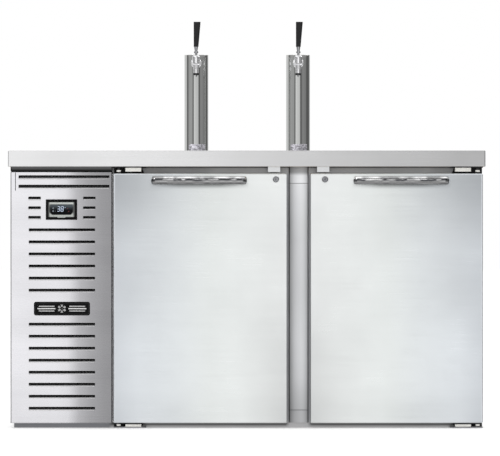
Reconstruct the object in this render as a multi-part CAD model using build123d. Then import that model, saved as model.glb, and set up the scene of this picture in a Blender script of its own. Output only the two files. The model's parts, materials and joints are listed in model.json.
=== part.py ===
"""Two-door back-bar beer cooler with two draught towers, one STEP file per piece.

Millimetres. +Z up, the front faces -Y, +X is to the right seen from the front. The origin is
on the floor, at the centre of the overall footprint.
"""
import math
import os

from build123d import *

# ---------------------------------------------------------------- driving dimensions
WORKTOP_WIDTH = 1499.0          # 59 in
WORKTOP_DEPTH = 610.0           # 24 in
WORKTOP_HEIGHT = 50.0
WORKTOP_TOP = 872.0
BODY_WIDTH = 1483.0
HANDLE_PROUD = 36.0             # how far the door handles stand out of the doors
DOOR_SETBACK = 3.0              # door front behind the worktop's front edge
SHEET = 1.2                     # stainless and galvanised sheet
WORKTOP_SHEET = 1.5
GAP = 0.3                       # clearance between pieces that move past each other

BASE_HEIGHT = 16.0
BASE_INSET = 8.0
DOOR_BOTTOM = 16.0
DOOR_TOP = 800.0
DOOR_THICK = 50.0
DOOR_CORNER = 5.0
GASKET_THICK = 12.0
GASKET_WIDTH = 18.0
GASKET_INSET = 17.0

LEFT_DOOR = (-418.0, 127.0)     # x of the left door's two side edges
RIGHT_DOOR = (200.0, 741.5)
GRILLE = (-741.5, -423.5)
GRILLE_TOP = 804.5
DOORWAY_INSET = 38.0            # doorway edge inside the door's edge
DIVIDER_THICK = 42.5

TOWER_X = (-161.0, 164.0)
TOWER_RADIUS = 38.1             # 3 in column
TOWER_HEIGHT = 310.0
FAUCET_BELOW_TOP = 27.0         # shank axis below the tower's top
FAUCET_REACH = 100.0            # spout axis in front of the tower's axis
LEVER_TOP = 1284.0
LEVER_TRAVEL = 25.0             # degrees, for the slots that the lever needs

HINGE_INSET = 16.0              # hinge pin inside the door's side edge
HINGE_BEHIND = 10.0             # hinge pin behind the door's front face
PIN_RADIUS = 4.0
PIN_HOLE = PIN_RADIUS + 0.08
BRACKET_THICK = 4.0
BRACKET_SLANT = 16.0            # how far the flange's end leans back away from the door
BUSHING_RADIUS = 7.0
BRACKET_LENGTH = 102.0
BRACKET_OVERHANG = 16.0

# cabinet details
SLEEVE_RADIUS = 28.0            # insulation sleeve that runs up into each tower
SLEEVE_HOLE = SLEEVE_RADIUS + 1.0
VENT_X = -562.0
VENT_ROWS = 5
VENT_WIDTH = 160.0
VENT_BOTTOM = 60.0
VENT_PITCH = 24.0
GLAND_X = -690.0
GLAND_Z = 60.0
GLAND_HOLE = 10.0
CASTER_STUD_HOLE = 6.35         # half-inch stud
CASTER_INSET = 55.0
HEADER_DEPTH = 14.0
COVER_MARGIN = 5.5
COVER_DEPTH = 12.0
COVER_CAP = (56.0, 769.0)       # heights where the mullion cover's end caps begin

# grille, badge and controller
SLOT_CENTRE = -580.0
SLOT_WIDTH = 208.0
SLOT_HEIGHT = 9.5
SLOT_CORNER = 1.8
LONG_SLOT_CENTRE = -573.6
LONG_SLOT_WIDTH = 285.0
SHORT_SLOT_WIDTH = 39.0
UPPER_SLOTS = [622.8 - 37.9 * row for row in range(6)]
LOWER_SLOTS = [326.5 - 37.7 * row for row in range(8)]
LONG_SLOTS = (789.1, 759.3)
SHORT_SLOTS = [(x, z) for x in (-666.0, -494.1) for z in (722.9, 692.2, 662.0)]
CONTROL_X = -581.5
CONTROL_Z = 686.5
BADGE_X = -580.0
BADGE_Z = 375.6
KEY_X = CONTROL_X - 26.0
KEY_HEIGHTS = {"key_up": CONTROL_Z + 4.5, "key_down": CONTROL_Z - 4.5}
KEY_RADIUS = 2.6

# door handles and locks
DOOR_HANDLE_X = {"left": -149.5, "right": 485.3}
DOOR_HANDLE_Z = 778.0
HANDLE_SPAN = 301.0
HANDLE_SECTION = (11.0, 24.0)   # thickness and height
HANDLE_SLOPE = 5.2              # degrees that each half of the grip leans outwards
HANDLE_BOW = 780.0              # radius of the grip's bow
LOCK_X = {"left": 91.7, "right": 246.0}
LOCK_Z = 781.6
LOCK_RADIUS = 9.5
CAM_LENGTH = 36.0
STRIKE_WIDTH = 38.5

# towers and faucets
COLUMN_WALL = 1.5
CAP_LIP = 8.0
SADDLE_RADIUS = 17.0
COUPLING_RADIUS = 15.5
BODY_RADIUS = 12.0
BONNET_HEIGHT = 9.0
SPOUT_RADIUS = 8.3
SPOUT_BOTTOM = 1114.0
STEM_RADIUS = 5.0               # the valve plunger's stem
PIVOT_RADIUS = 7.5              # the lever's ball
NECK_RADIUS = 3.8               # the lever's neck in the bonnet's slot
HANDLE_BOTTOM = 1204.7
HANDLE_LEAN = 3.3               # how far the tap handle's top stands to the right of its foot

# refrigeration
TRAY_Z = BASE_HEIGHT + 2.0
COMPRESSOR = (-580.0, 190.0)
COMPRESSOR_RADIUS = 74.0
MOUNT_HEIGHT = 16.0
COIL_X = (-722.0, -446.0)
COIL_Y = (-190.0, -150.0)
COIL_Z = (34.0, 320.0)
FAN_CENTRE = (-584.0, -96.0, 180.0)
FAN_RADIUS = 105.0
LINE_Y = 225.0
LINE_HEIGHTS = (560.0, 600.0)
EVAPORATOR_Y = (-120.0, 200.0)
EVAPORATOR_Z = (470.0, 740.0)
EVAPORATOR_DEPTH = 78.0
EVAPORATOR_FAN_RADIUS = 62.0

# ---------------------------------------------------------------- places worked out
BODY_LEFT = -BODY_WIDTH / 2
BODY_RIGHT = BODY_WIDTH / 2
BACK_EDGE = (WORKTOP_DEPTH + HANDLE_PROUD - DOOR_SETBACK) / 2
FRONT_EDGE = BACK_EDGE - WORKTOP_DEPTH
DOOR_FRONT = FRONT_EDGE + DOOR_SETBACK
DOOR_BACK = DOOR_FRONT + DOOR_THICK
FRAME_FRONT = DOOR_BACK + GASKET_THICK + 0.5
BODY_BACK = BACK_EDGE - 3.0
BODY_TOP = WORKTOP_TOP - WORKTOP_HEIGHT

ROOM_LEFT = LEFT_DOOR[0] + DOORWAY_INSET
ROOM_RIGHT = RIGHT_DOOR[1] - DOORWAY_INSET
ROOM_BOTTOM = DOOR_BOTTOM + DOORWAY_INSET
ROOM_TOP = DOOR_TOP - DOORWAY_INSET
ROOM_BACK = BODY_BACK - SHEET - 42.0
POST = (LEFT_DOOR[1] - DOORWAY_INSET, RIGHT_DOOR[0] + DOORWAY_INSET)
POST_DEPTH = 45.0
BAY_LEFT = BODY_LEFT + SHEET
BAY_RIGHT = ROOM_LEFT - DIVIDER_THICK

TOWER_Y = (FRONT_EDGE + BACK_EDGE) / 2
TOWER_TOP = WORKTOP_TOP + TOWER_HEIGHT
SHANK_Z = TOWER_TOP - FAUCET_BELOW_TOP
FAUCET_Y = TOWER_Y - FAUCET_REACH
PIVOT_Z = SHANK_Z + 14.0
COLLAR_Z = (PIVOT_Z + 15.0, PIVOT_Z + 21.0)
BOLT_Y = TOWER_Y - TOWER_RADIUS
SEAT_Y = BOLT_Y - 16.0
EVAPORATOR_FAN = (ROOM_LEFT + 56.0, 40.0, 650.0)

PIN_Y = DOOR_FRONT + HINGE_BEHIND
HINGE_X = {"left": LEFT_DOOR[0] + HINGE_INSET, "right": RIGHT_DOOR[1] - HINGE_INSET}
INWARD = {"left": 1, "right": -1}
CAM_Y = DOOR_FRONT + 17.0
STRIKE_Z = (DOOR_TOP + 4.7, BODY_TOP)


# ---------------------------------------------------------------- helpers
def block(x, y, z):
    """A box from three (low, high) pairs."""
    size = [high - low for low, high in (x, y, z)]
    centre = [(low + high) / 2 for low, high in (x, y, z)]
    return Pos(*centre) * Box(*size)


def drawn_in(x, y, z, margin):
    """A box whose sides, but not its depth along Y, are drawn in by a margin."""
    return block((x[0] + margin, x[1] - margin), y, (z[0] + margin, z[1] - margin))


def rod(start, direction, radius, length):
    """A cylinder that starts at a point and runs along a direction."""
    base = Cylinder(radius, length, align=(Align.CENTER, Align.CENTER, Align.MIN))
    return Plane(origin=start, z_dir=direction) * base


def upright_cone(base, low_radius, high_radius, height):
    """A cone that stands on a point."""
    aligned = (Align.CENTER, Align.CENTER, Align.MIN)
    return Pos(*base) * Cone(low_radius, high_radius, height, align=aligned)


def tube(start, direction, outer, inner, length):
    """A round tube."""
    return rod(start, direction, outer, length) - rod(start, direction, inner, length)


def slot(centre, width, height, depth):
    """A horizontal slot with eased corners through a panel, along Y."""
    face = Plane(origin=centre, x_dir=(1, 0, 0), z_dir=(0, -1, 0))
    return extrude(face * RectangleRounded(width, height, SLOT_CORNER), depth / 2, both=True)


def pipe(points, radius, bend):
    """A round pipe along straight runs joined by bends."""
    path = FilletPolyline(*points, radius=bend)
    start = Plane(origin=path @ 0, z_dir=path % 0)
    return sweep(start * Circle(radius), path=path)


def pan(x, y, z, open_side):
    """A sheet-metal box with one open side, given as an axis letter and which end."""
    axis, end = open_side
    inner = [[low + SHEET, high - SHEET] for low, high in (x, y, z)]
    index = "xyz".index(axis)
    inner[index][end] = (x, y, z)[index][end] + (1 if end else -1)
    return block(x, y, z) - block(*inner)


def save(name, *solids):
    """Write one node, whose solids stay apart."""
    shape = solids[0] if len(solids) == 1 else Compound(children=list(solids))
    export_step(shape, f"parts/{name}.step")


# ---------------------------------------------------------------- cabinet shell
def tower_holes(radius, low, high):
    """The two holes that the towers' insulation and beer lines pass through."""
    return [rod((x, TOWER_Y, low), (0, 0, 1), radius, high - low) for x in TOWER_X]


def worktop_slab(margin, z):
    """A slab with the worktop's outline, drawn in by a margin all round."""
    half = WORKTOP_WIDTH / 2 - margin
    return block((-half, half), (FRONT_EDGE + margin, BACK_EDGE - margin), z)


def make_worktop():
    skin = worktop_slab(0.0, (BODY_TOP, WORKTOP_TOP))
    skin = fillet(skin.edges().filter_by(Axis.Z), 3.0)
    skin = fillet(skin.faces().sort_by(Axis.Z)[-1].edges(), 2.0)
    under = WORKTOP_TOP - WORKTOP_SHEET
    skin -= worktop_slab(WORKTOP_SHEET, (BODY_TOP - 1, under))
    core = worktop_slab(4.0, (BODY_TOP, under))
    for hole in tower_holes(SLEEVE_HOLE, BODY_TOP - 5, WORKTOP_TOP + 5):
        skin -= hole
        core -= hole
    save("worktop", skin)
    save("worktop_core", core)


def make_outer_panels():
    side_y = (FRAME_FRONT + SHEET, BODY_BACK - SHEET)
    side_z = (BASE_HEIGHT, BODY_TOP)
    save(
        "side_panels",
        block((BODY_LEFT, BODY_LEFT + SHEET), side_y, side_z),
        block((BODY_RIGHT - SHEET, BODY_RIGHT), side_y, side_z),
    )
    rear = block((BODY_LEFT, BODY_RIGHT), (BODY_BACK - SHEET, BODY_BACK), side_z)
    for row in range(VENT_ROWS):
        rear -= slot((VENT_X, BODY_BACK, VENT_BOTTOM + VENT_PITCH * row), VENT_WIDTH, SLOT_HEIGHT, 10)
    rear -= rod((GLAND_X, BODY_BACK - 10, GLAND_Z), (0, 1, 0), GLAND_HOLE, 20)
    save("rear_panel", rear)


def caster_places():
    """The four corner pads that take casters or legs."""
    left, right = BODY_LEFT + BASE_INSET + CASTER_INSET, BODY_RIGHT - BASE_INSET - CASTER_INSET
    front, back = FRAME_FRONT + BASE_INSET + CASTER_INSET, BODY_BACK - BASE_INSET - CASTER_INSET
    return [(x, y) for x in (left, right) for y in (front, back)]


def make_base():
    """Floor pan with a rail frame and four caster pads under it."""
    x = (BODY_LEFT + BASE_INSET, BODY_RIGHT - BASE_INSET)
    y = (FRAME_FRONT + BASE_INSET, BODY_BACK - BASE_INSET)
    rail = 20.0
    under = BASE_HEIGHT - SHEET
    frame = block(x, y, (0, BASE_HEIGHT))
    inner_x, inner_y = (x[0] + rail, x[1] - rail), (y[0] + rail, y[1] - rail)
    frame -= block(inner_x, inner_y, (-1, under))
    frame += block((BAY_RIGHT, BAY_RIGHT + rail), inner_y, (0, under))
    for px, py in caster_places():
        frame += block((px - 40, px + 40), (py - 40, py + 40), (0, under))
    for px, py in caster_places():
        frame -= rod((px, py, -1), (0, 0, 1), CASTER_STUD_HOLE, 12)
    save("base_frame", frame)


def make_insulation():
    """Foam slabs, one convex block for each wall of the cold room."""
    y = (FRAME_FRONT + SHEET, BODY_BACK - SHEET)
    full_x = (BAY_RIGHT + SHEET, BODY_RIGHT - SHEET)
    room_z = (ROOM_BOTTOM - SHEET, ROOM_TOP + SHEET)
    floor = block(full_x, y, (BASE_HEIGHT, room_z[0]))
    ceiling = block(full_x, y, (room_z[1], BODY_TOP))
    for hole in tower_holes(SLEEVE_HOLE, ROOM_TOP - 5, BODY_TOP + 5):
        ceiling -= hole
    back = block(full_x, (ROOM_BACK + SHEET, y[1]), room_z)
    wall_y = (y[0], ROOM_BACK + SHEET)
    right = block((ROOM_RIGHT + SHEET, full_x[1]), wall_y, room_z)
    divider = block((full_x[0], ROOM_LEFT - SHEET), wall_y, room_z)
    for z in LINE_HEIGHTS:
        divider -= rod((full_x[0] - 5, LINE_Y, z), (1, 0, 0), 9.0, DIVIDER_THICK + 10)
    save("insulation", floor, ceiling, back, right, divider, rounded_post(SHEET))


def make_liner():
    """Inner sheets of the cold room and the outer sheet of its divider."""
    y = (FRAME_FRONT + SHEET, ROOM_BACK)
    x = (ROOM_LEFT - SHEET, ROOM_RIGHT + SHEET)
    z = (ROOM_BOTTOM, ROOM_TOP)
    floor = block(x, y, (z[0] - SHEET, z[0]))
    ceiling = block(x, y, (z[1], z[1] + SHEET))
    for hole in tower_holes(SLEEVE_HOLE, z[1] - 5, z[1] + 5):
        ceiling -= hole
    back = block(x, (ROOM_BACK, ROOM_BACK + SHEET), (z[0] - SHEET, z[1] + SHEET))
    right = block((ROOM_RIGHT, ROOM_RIGHT + SHEET), y, z)
    left = block((ROOM_LEFT - SHEET, ROOM_LEFT), y, z)
    bay = block((BAY_RIGHT, BAY_RIGHT + SHEET), (y[0], BODY_BACK - SHEET), (BASE_HEIGHT, BODY_TOP))
    for height in LINE_HEIGHTS:
        hole = rod((BAY_RIGHT - 5, LINE_Y, height), (1, 0, 0), 9.0, DIVIDER_THICK + 10)
        left -= hole
        bay -= hole
    save("liner", floor, ceiling, back, right, left, bay)


def make_face_frame():
    """Flat rails and stiles around the doorways, with the post between them."""
    y = (FRAME_FRONT, FRAME_FRONT + SHEET)
    outer_x = (BAY_RIGHT, BODY_RIGHT)
    top = block(outer_x, y, (ROOM_TOP, BODY_TOP))
    bottom = block(outer_x, y, (BASE_HEIGHT, ROOM_BOTTOM))
    left = block((BAY_RIGHT, ROOM_LEFT), y, (ROOM_BOTTOM, ROOM_TOP))
    right = block((ROOM_RIGHT, BODY_RIGHT), y, (ROOM_BOTTOM, ROOM_TOP))
    header_y = (FRAME_FRONT - HEADER_DEPTH, FRAME_FRONT)
    header = block((BODY_LEFT, BAY_RIGHT), header_y, (GRILLE_TOP + 0.5, BODY_TOP))
    save("front_frame", top, bottom, left, right, header)
    save("mullion", rounded_post(0.0) - rounded_post(SHEET))


def rounded_post(inset):
    """The post between the doorways, or the space inside its sheet."""
    x = (POST[0] + inset, POST[1] - inset)
    y = (FRAME_FRONT + inset, FRAME_FRONT + POST_DEPTH - inset)
    post = block(x, y, (ROOM_BOTTOM, ROOM_TOP))
    return fillet(post.faces().sort_by(Axis.Y)[-1].edges().filter_by(Axis.Z), 8.0 - inset)


def make_mullion_cover():
    """Raised cover strip between the doors: a long centre piece and two end caps."""
    x = (LEFT_DOOR[1] + COVER_MARGIN, RIGHT_DOOR[0] - COVER_MARGIN)
    y = (FRAME_FRONT - COVER_DEPTH, FRAME_FRONT)
    spans = ((DOOR_BOTTOM, COVER_CAP[0] - 0.8), COVER_CAP, (COVER_CAP[1] + 0.8, BODY_TOP))
    pieces = []
    for z in spans:
        strip = block(x, y, z)
        strip = fillet(strip.faces().sort_by(Axis.Y)[0].edges().filter_by(Axis.Z), 4.0)
        hollow = block((x[0] + SHEET, x[1] - SHEET), (y[0] + SHEET, y[1] + 1), (z[0] - 1, z[1] + 1))
        pieces.append(strip - hollow)
    save("mullion_cover", *pieces)


# ---------------------------------------------------------------- grille and controller
def rectangle_prism(width, height, y, x=CONTROL_X, z=CONTROL_Z, corner=0.0):
    """An upright rectangular block centred on (x, z) that runs between two depths."""
    solid = block((x - width / 2, x + width / 2), y, (z - height / 2, z + height / 2))
    return fillet(solid.edges().filter_by(Axis.Y), corner) if corner else solid


def make_grille():
    """Louvred front of the condensing-unit bay: a shallow pan with real slots."""
    z = (BASE_HEIGHT, GRILLE_TOP)
    y = (DOOR_FRONT, FRAME_FRONT)
    body = block(GRILLE, y, z)
    body = fillet(body.faces().sort_by(Axis.Y)[0].edges(), 2.0)
    body -= drawn_in(GRILLE, (y[0] + SHEET, y[1] + 1), z, SHEET)
    for height in UPPER_SLOTS + LOWER_SLOTS:
        body -= slot((SLOT_CENTRE, y[0], height), SLOT_WIDTH, SLOT_HEIGHT, 10)
    for height in LONG_SLOTS:
        body -= slot((LONG_SLOT_CENTRE, y[0], height), LONG_SLOT_WIDTH, SLOT_HEIGHT + 1, 10)
    for x, height in SHORT_SLOTS:
        body -= slot((x, y[0], height), SHORT_SLOT_WIDTH, SLOT_HEIGHT - 0.5, 10)
    body -= block((-727.0, -725.0), (y[0] - 1, y[0] + 4), (746, GRILLE_TOP + 1))
    body -= rectangle_prism(90, 56, (y[0] - 1, y[0] + 4))
    save("grille", body)


def make_badge():
    plate = rectangle_prism(176, 43, (DOOR_FRONT - 3, DOOR_FRONT), BADGE_X, BADGE_Z, 7.0)
    save("badge", fillet(plate.faces().sort_by(Axis.Y)[0].edges(), 1.0))


def make_controller():
    """Digital thermostat: bezel with its housing, body, lens and two keys."""
    bezel_front = DOOR_FRONT - 6.0
    bezel = rectangle_prism(98, 64, (bezel_front, DOOR_FRONT), corner=1.5)
    bezel += rectangle_prism(88, 54, (DOOR_FRONT, DOOR_FRONT + 52))
    bezel -= rectangle_prism(84, 47, (bezel_front - 1, DOOR_FRONT + 50))
    bezel -= rectangle_prism(26, 4, (bezel_front - 1, bezel_front + 3), z=CONTROL_Z - 24)
    save("control_bezel", bezel)

    unit_front = bezel_front + 1.5
    unit = rectangle_prism(83.6, 46.6, (unit_front, DOOR_FRONT + 45), corner=1.0)
    unit += rectangle_prism(25, 3, (unit_front, unit_front + 1.2), z=CONTROL_Z - 24)
    window = rectangle_prism(71, 33, (unit_front - 1, unit_front + 3))
    corners = window.edges().filter_by(Axis.Y).sort_by(Axis.Z)[:2]
    window = chamfer(corners, 6.0)
    unit -= window
    lens = rectangle_prism(70.6, 32.6, (unit_front + 1, unit_front + 3))
    lens = chamfer(lens.edges().filter_by(Axis.Y).sort_by(Axis.Z)[:2], 6.0)
    for name, height in KEY_HEIGHTS.items():
        well = rod((KEY_X, unit_front, height), (0, 1, 0), KEY_RADIUS + GAP, 6.4)
        lens -= well
        unit -= well
        save(name, rod((KEY_X, unit_front + 0.4, height), (0, 1, 0), KEY_RADIUS, 4.6))
    save("control_unit", unit)
    save("display_lens", lens)


# ---------------------------------------------------------------- hinges and strikes
HINGE_SPANS = {
    "top": {
        "plate": (BODY_TOP - BRACKET_THICK, BODY_TOP),
        "flange": (DOOR_TOP - 14, BODY_TOP),
        "nylon": (DOOR_TOP + 6, BODY_TOP - BRACKET_THICK),
        "collar": (DOOR_TOP + 5, DOOR_TOP + 10.5),
        "pin": (DOOR_TOP - 16, BODY_TOP),
        "screw": BODY_TOP - 11,
    },
    "bottom": {
        "plate": (0.5, 0.5 + BRACKET_THICK),
        "flange": (0.5, DOOR_BOTTOM + 14),
        "nylon": (0.5 + BRACKET_THICK, DOOR_BOTTOM - 4),
        "collar": (DOOR_BOTTOM - 9, DOOR_BOTTOM - 3.5),
        "pin": (0.5, DOOR_BOTTOM + 16),
        "screw": 12.0,
    },
}


def span(start, length, direction):
    """A (low, high) pair that runs from a start in either direction."""
    return tuple(sorted((start, start + direction * length)))


def pin_rod(x, z, radius):
    """An upright cylinder on a hinge axis between two heights."""
    return rod((x, PIN_Y, z[0]), (0, 0, 1), radius, z[1] - z[0])


def make_hinge(side, level):
    """One hinge: bracket, pin, nylon block and bushing, and two screws."""
    inward = INWARD[side]
    pin_x = HINGE_X[side]
    outer = pin_x - inward * BRACKET_OVERHANG
    z = HINGE_SPANS[level]
    nylon = block(span(pin_x + inward * 21, 50, inward), (DOOR_FRONT + 3, DOOR_FRONT + 30), z["nylon"])
    nylon = fillet(nylon.edges().filter_by(Axis.Z), 2.0)
    plate = block(span(outer, BRACKET_LENGTH, inward), (DOOR_FRONT + 2, FRAME_FRONT), z["plate"])
    front_corners = plate.edges().filter_by(Axis.Z).sort_by(Axis.Y)[:2].sort_by(Axis.X)
    plate = chamfer(front_corners[-1 if inward > 0 else 0], 14.0)
    end = outer + inward * BRACKET_LENGTH
    far, near = z["flange"] if level == "bottom" else z["flange"][::-1]
    outline = [(outer, far), (end - inward * BRACKET_SLANT, far), (end, near), (outer, near)]
    back = Plane(origin=(0, FRAME_FRONT, 0), x_dir=(1, 0, 0), z_dir=(0, -1, 0))
    flange = extrude(back * Polygon(*outline, align=None), BRACKET_THICK, dir=(0, -1, 0))
    pin = pin_rod(pin_x, z["pin"], PIN_RADIUS)
    bracket = plate + flange - nylon - pin
    bushing = pin_rod(pin_x, z["collar"], BUSHING_RADIUS) - pin
    screws = []
    for step in (30, 66):
        head = (outer + inward * step, FRAME_FRONT - BRACKET_THICK, z["screw"])
        screws.append(rod(head, (0, -1, 0), 4.5, 2.6))
    return bracket, pin, (nylon, bushing), screws


def make_hinges():
    hinges = [make_hinge(side, level) for side in INWARD for level in HINGE_SPANS]
    save("hinge_brackets", *[hinge[0] for hinge in hinges])
    save("hinge_pins", *[hinge[1] for hinge in hinges])
    save("hinge_blocks", *[part for hinge in hinges for part in hinge[2]])
    save("bracket_screws", *[screw for hinge in hinges for screw in hinge[3]])


def make_strikes():
    """Inverted channels above the doors that the lock cams turn up into."""
    strikes = []
    for x in LOCK_X.values():
        outer_x = (x - 24.8, x - 24.8 + STRIKE_WIDTH)
        body = block(outer_x, (CAM_Y - 7, CAM_Y + 10), (STRIKE_Z[0], BODY_TOP))
        channel_x = (outer_x[0] - 1, outer_x[1] + 1)
        body -= block(channel_x, (CAM_Y - 4.5, CAM_Y + 7.5), (STRIKE_Z[0] - 1, BODY_TOP - 3))
        strikes.append(body)
    save("lock_strikes", *strikes)


# ---------------------------------------------------------------- doors
def make_handle(name, centre_x):
    """Chrome bow pull: an oval bar that leaves the door, turns and bows outwards."""
    thick, height = HANDLE_SECTION
    foot_x = (HANDLE_SPAN - thick) / 2
    slope = math.radians(HANDLE_SLOPE)
    crown = HANDLE_PROUD - thick / 2 + HANDLE_BOW * (1 / math.cos(slope) - 1)
    shoulder = crown - foot_x * math.tan(slope)
    points = [(-foot_x, 0), (-foot_x, -shoulder), (0, -crown), (foot_x, -shoulder), (foot_x, 0)]
    path = FilletPolyline(*points, radius=[9, HANDLE_BOW, 9])
    foot = Plane(origin=path @ 0, x_dir=(1, 0, 0), z_dir=(0, -1, 0))
    bar = sweep(foot * Ellipse(thick / 2, height / 2), path=path)
    save(name, Pos(centre_x, DOOR_FRONT, DOOR_HANDLE_Z) * bar)


def hinge_cavity(pin_x, clearance):
    """The space of the pins' bushing holes at the top and bottom of a door."""
    depth = 17.0
    upper = rod((pin_x, PIN_Y, DOOR_TOP + 1), (0, 0, -1), clearance, depth + 1)
    lower = rod((pin_x, PIN_Y, DOOR_BOTTOM - 1), (0, 0, 1), clearance, depth + 1)
    return upper + lower


def make_door(side, edges):
    x, z = edges, (DOOR_BOTTOM, DOOR_TOP)
    y = (DOOR_FRONT, DOOR_BACK)
    pin_x = HINGE_X[side]
    lock_x = LOCK_X[side]
    skin = block(x, y, z)
    skin = fillet(skin.edges().filter_by(Axis.Y), DOOR_CORNER)
    skin = fillet(skin.faces().sort_by(Axis.Y)[0].edges(), 2.5)
    hollow = drawn_in(x, (y[0] + SHEET, y[1] + 1), z, SHEET)
    hollow = fillet(hollow.edges().filter_by(Axis.Y), DOOR_CORNER - SHEET)
    skin -= hollow
    lock_hole = rod((lock_x, DOOR_FRONT - 1, LOCK_Z), (0, 1, 0), LOCK_RADIUS - 2 + 0.1, 12)
    cam_slot = block((lock_x - 33, lock_x + 9), (CAM_Y - 3, CAM_Y + 6), (LOCK_Z + 5, DOOR_TOP + 1))
    skin -= hinge_cavity(pin_x, PIN_HOLE)
    skin -= lock_hole
    skin -= cam_slot
    save(f"door_skin_{side}", skin)

    core = drawn_in(x, (y[0] + SHEET, y[1] - 2), z, SHEET)
    core = fillet(core.edges().filter_by(Axis.Y), DOOR_CORNER - SHEET)
    core -= hinge_cavity(pin_x, PIN_HOLE)
    core -= rod((lock_x, DOOR_FRONT, LOCK_Z), (0, 1, 0), LOCK_RADIUS - 2 + 0.1, CAM_Y - DOOR_FRONT)
    core -= cam_slot
    core -= block((lock_x - CAM_LENGTH - 2, lock_x + 9), (CAM_Y - 3, CAM_Y + 6), (LOCK_Z - 9, DOOR_TOP))
    save(f"door_core_{side}", core)

    inset = GASKET_INSET + GASKET_WIDTH
    inner = drawn_in(x, (y[1] - 2, y[1]), z, SHEET)
    inner = fillet(inner.edges().filter_by(Axis.Y), DOOR_CORNER - SHEET)
    raised = drawn_in(x, (y[1], y[1] + 5), z, inset + 6)
    inner += fillet(raised.faces().sort_by(Axis.Y)[-1].edges(), 3.0)
    inner -= hinge_cavity(pin_x, PIN_HOLE)
    save(f"door_liner_{side}", inner)

    gasket_y = (y[1], y[1] + GASKET_THICK)
    ring = drawn_in(x, gasket_y, z, GASKET_INSET) - drawn_in(x, gasket_y, z, inset)
    save(f"door_gasket_{side}", ring)


def make_lock(side):
    """Key barrel with its cam, which turns as one piece."""
    x = LOCK_X[side]
    barrel = rod((x, DOOR_FRONT - 2.2, LOCK_Z), (0, 1, 0), LOCK_RADIUS, 2.0)
    barrel = fillet(barrel.faces().sort_by(Axis.Y)[0].edges(), 1.0)
    barrel += rod((x, DOOR_FRONT - 1, LOCK_Z), (0, 1, 0), LOCK_RADIUS - 2, CAM_Y - DOOR_FRONT + 1)
    barrel -= block((x - 0.8, x + 0.8), (DOOR_FRONT - 4, DOOR_FRONT + 4), (LOCK_Z - 3.5, LOCK_Z + 3.5))
    cam = block((x - CAM_LENGTH, x + 6), (CAM_Y - 0.5, CAM_Y + 2.5), (LOCK_Z - 6, LOCK_Z + 6))
    cam = fillet(cam.edges().filter_by(Axis.Y), 5.0)
    save(f"door_lock_{side}", barrel + cam)


# ---------------------------------------------------------------- towers and faucets
def make_shank(x):
    """Threaded tube through the column's wall, with its saddle flange and inner nut."""
    flange = rod((x, BOLT_Y + 10, SHANK_Z), (0, -1, 0), SADDLE_RADIUS, 14.4)
    flange = fillet(flange.edges().group_by(Axis.Y)[0], 1.0)
    flange -= rod((x, TOWER_Y, SHANK_Z - 40), (0, 0, 1), TOWER_RADIUS, 80)
    shank = rod((x, BOLT_Y + 17, SHANK_Z), (0, -1, 0), 11.0, 32.8)
    nut = Plane(origin=(x, BOLT_Y + 12, SHANK_Z), z_dir=(0, -1, 0)) * extrude(RegularPolygon(15, 6), 5)
    return shank + flange + nut - rod((x, TOWER_Y, SHANK_Z), (0, -1, 0), 8.2, 100)


def make_towers():
    columns, caps, sleeves, shanks, lines = [], [], [], [], []
    inner_radius = TOWER_RADIUS - COLUMN_WALL
    for x in TOWER_X:
        base = (x, TOWER_Y, WORKTOP_TOP)
        shank_hole = rod((x, TOWER_Y, SHANK_Z), (0, -1, 0), 11.2, 60)
        column = tube(base, (0, 0, 1), TOWER_RADIUS, inner_radius, TOWER_HEIGHT - CAP_LIP)
        columns.append(column - shank_hole)
        cap = rod((x, TOWER_Y, TOWER_TOP - CAP_LIP), (0, 0, 1), TOWER_RADIUS, CAP_LIP)
        cap = fillet(cap.faces().sort_by(Axis.Z)[-1].edges(), 1.2)
        plug_top = (x, TOWER_Y, TOWER_TOP - CAP_LIP)
        cap += tube(plug_top, (0, 0, -1), inner_radius - 0.1, inner_radius - 1.6, 6)
        caps.append(cap)
        sleeve_low = ROOM_TOP - 20
        sleeve_high = SHANK_Z - 18
        sleeve = tube((x, TOWER_Y, sleeve_low), (0, 0, 1), SLEEVE_RADIUS, 12.0, sleeve_high - sleeve_low)
        sleeves.append(sleeve)
        shanks.append(make_shank(x))
        points = [(x, TOWER_Y, ROOM_TOP - 18), (x, TOWER_Y, SHANK_Z), (x, BOLT_Y - 2, SHANK_Z)]
        lines.append(pipe(points, 4.8, 20))
    save("tower_columns", *columns)
    save("tower_caps", *caps)
    save("tower_insulation", *sleeves)
    save("faucet_shanks", *shanks)
    save("beer_lines", *lines)


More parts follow.
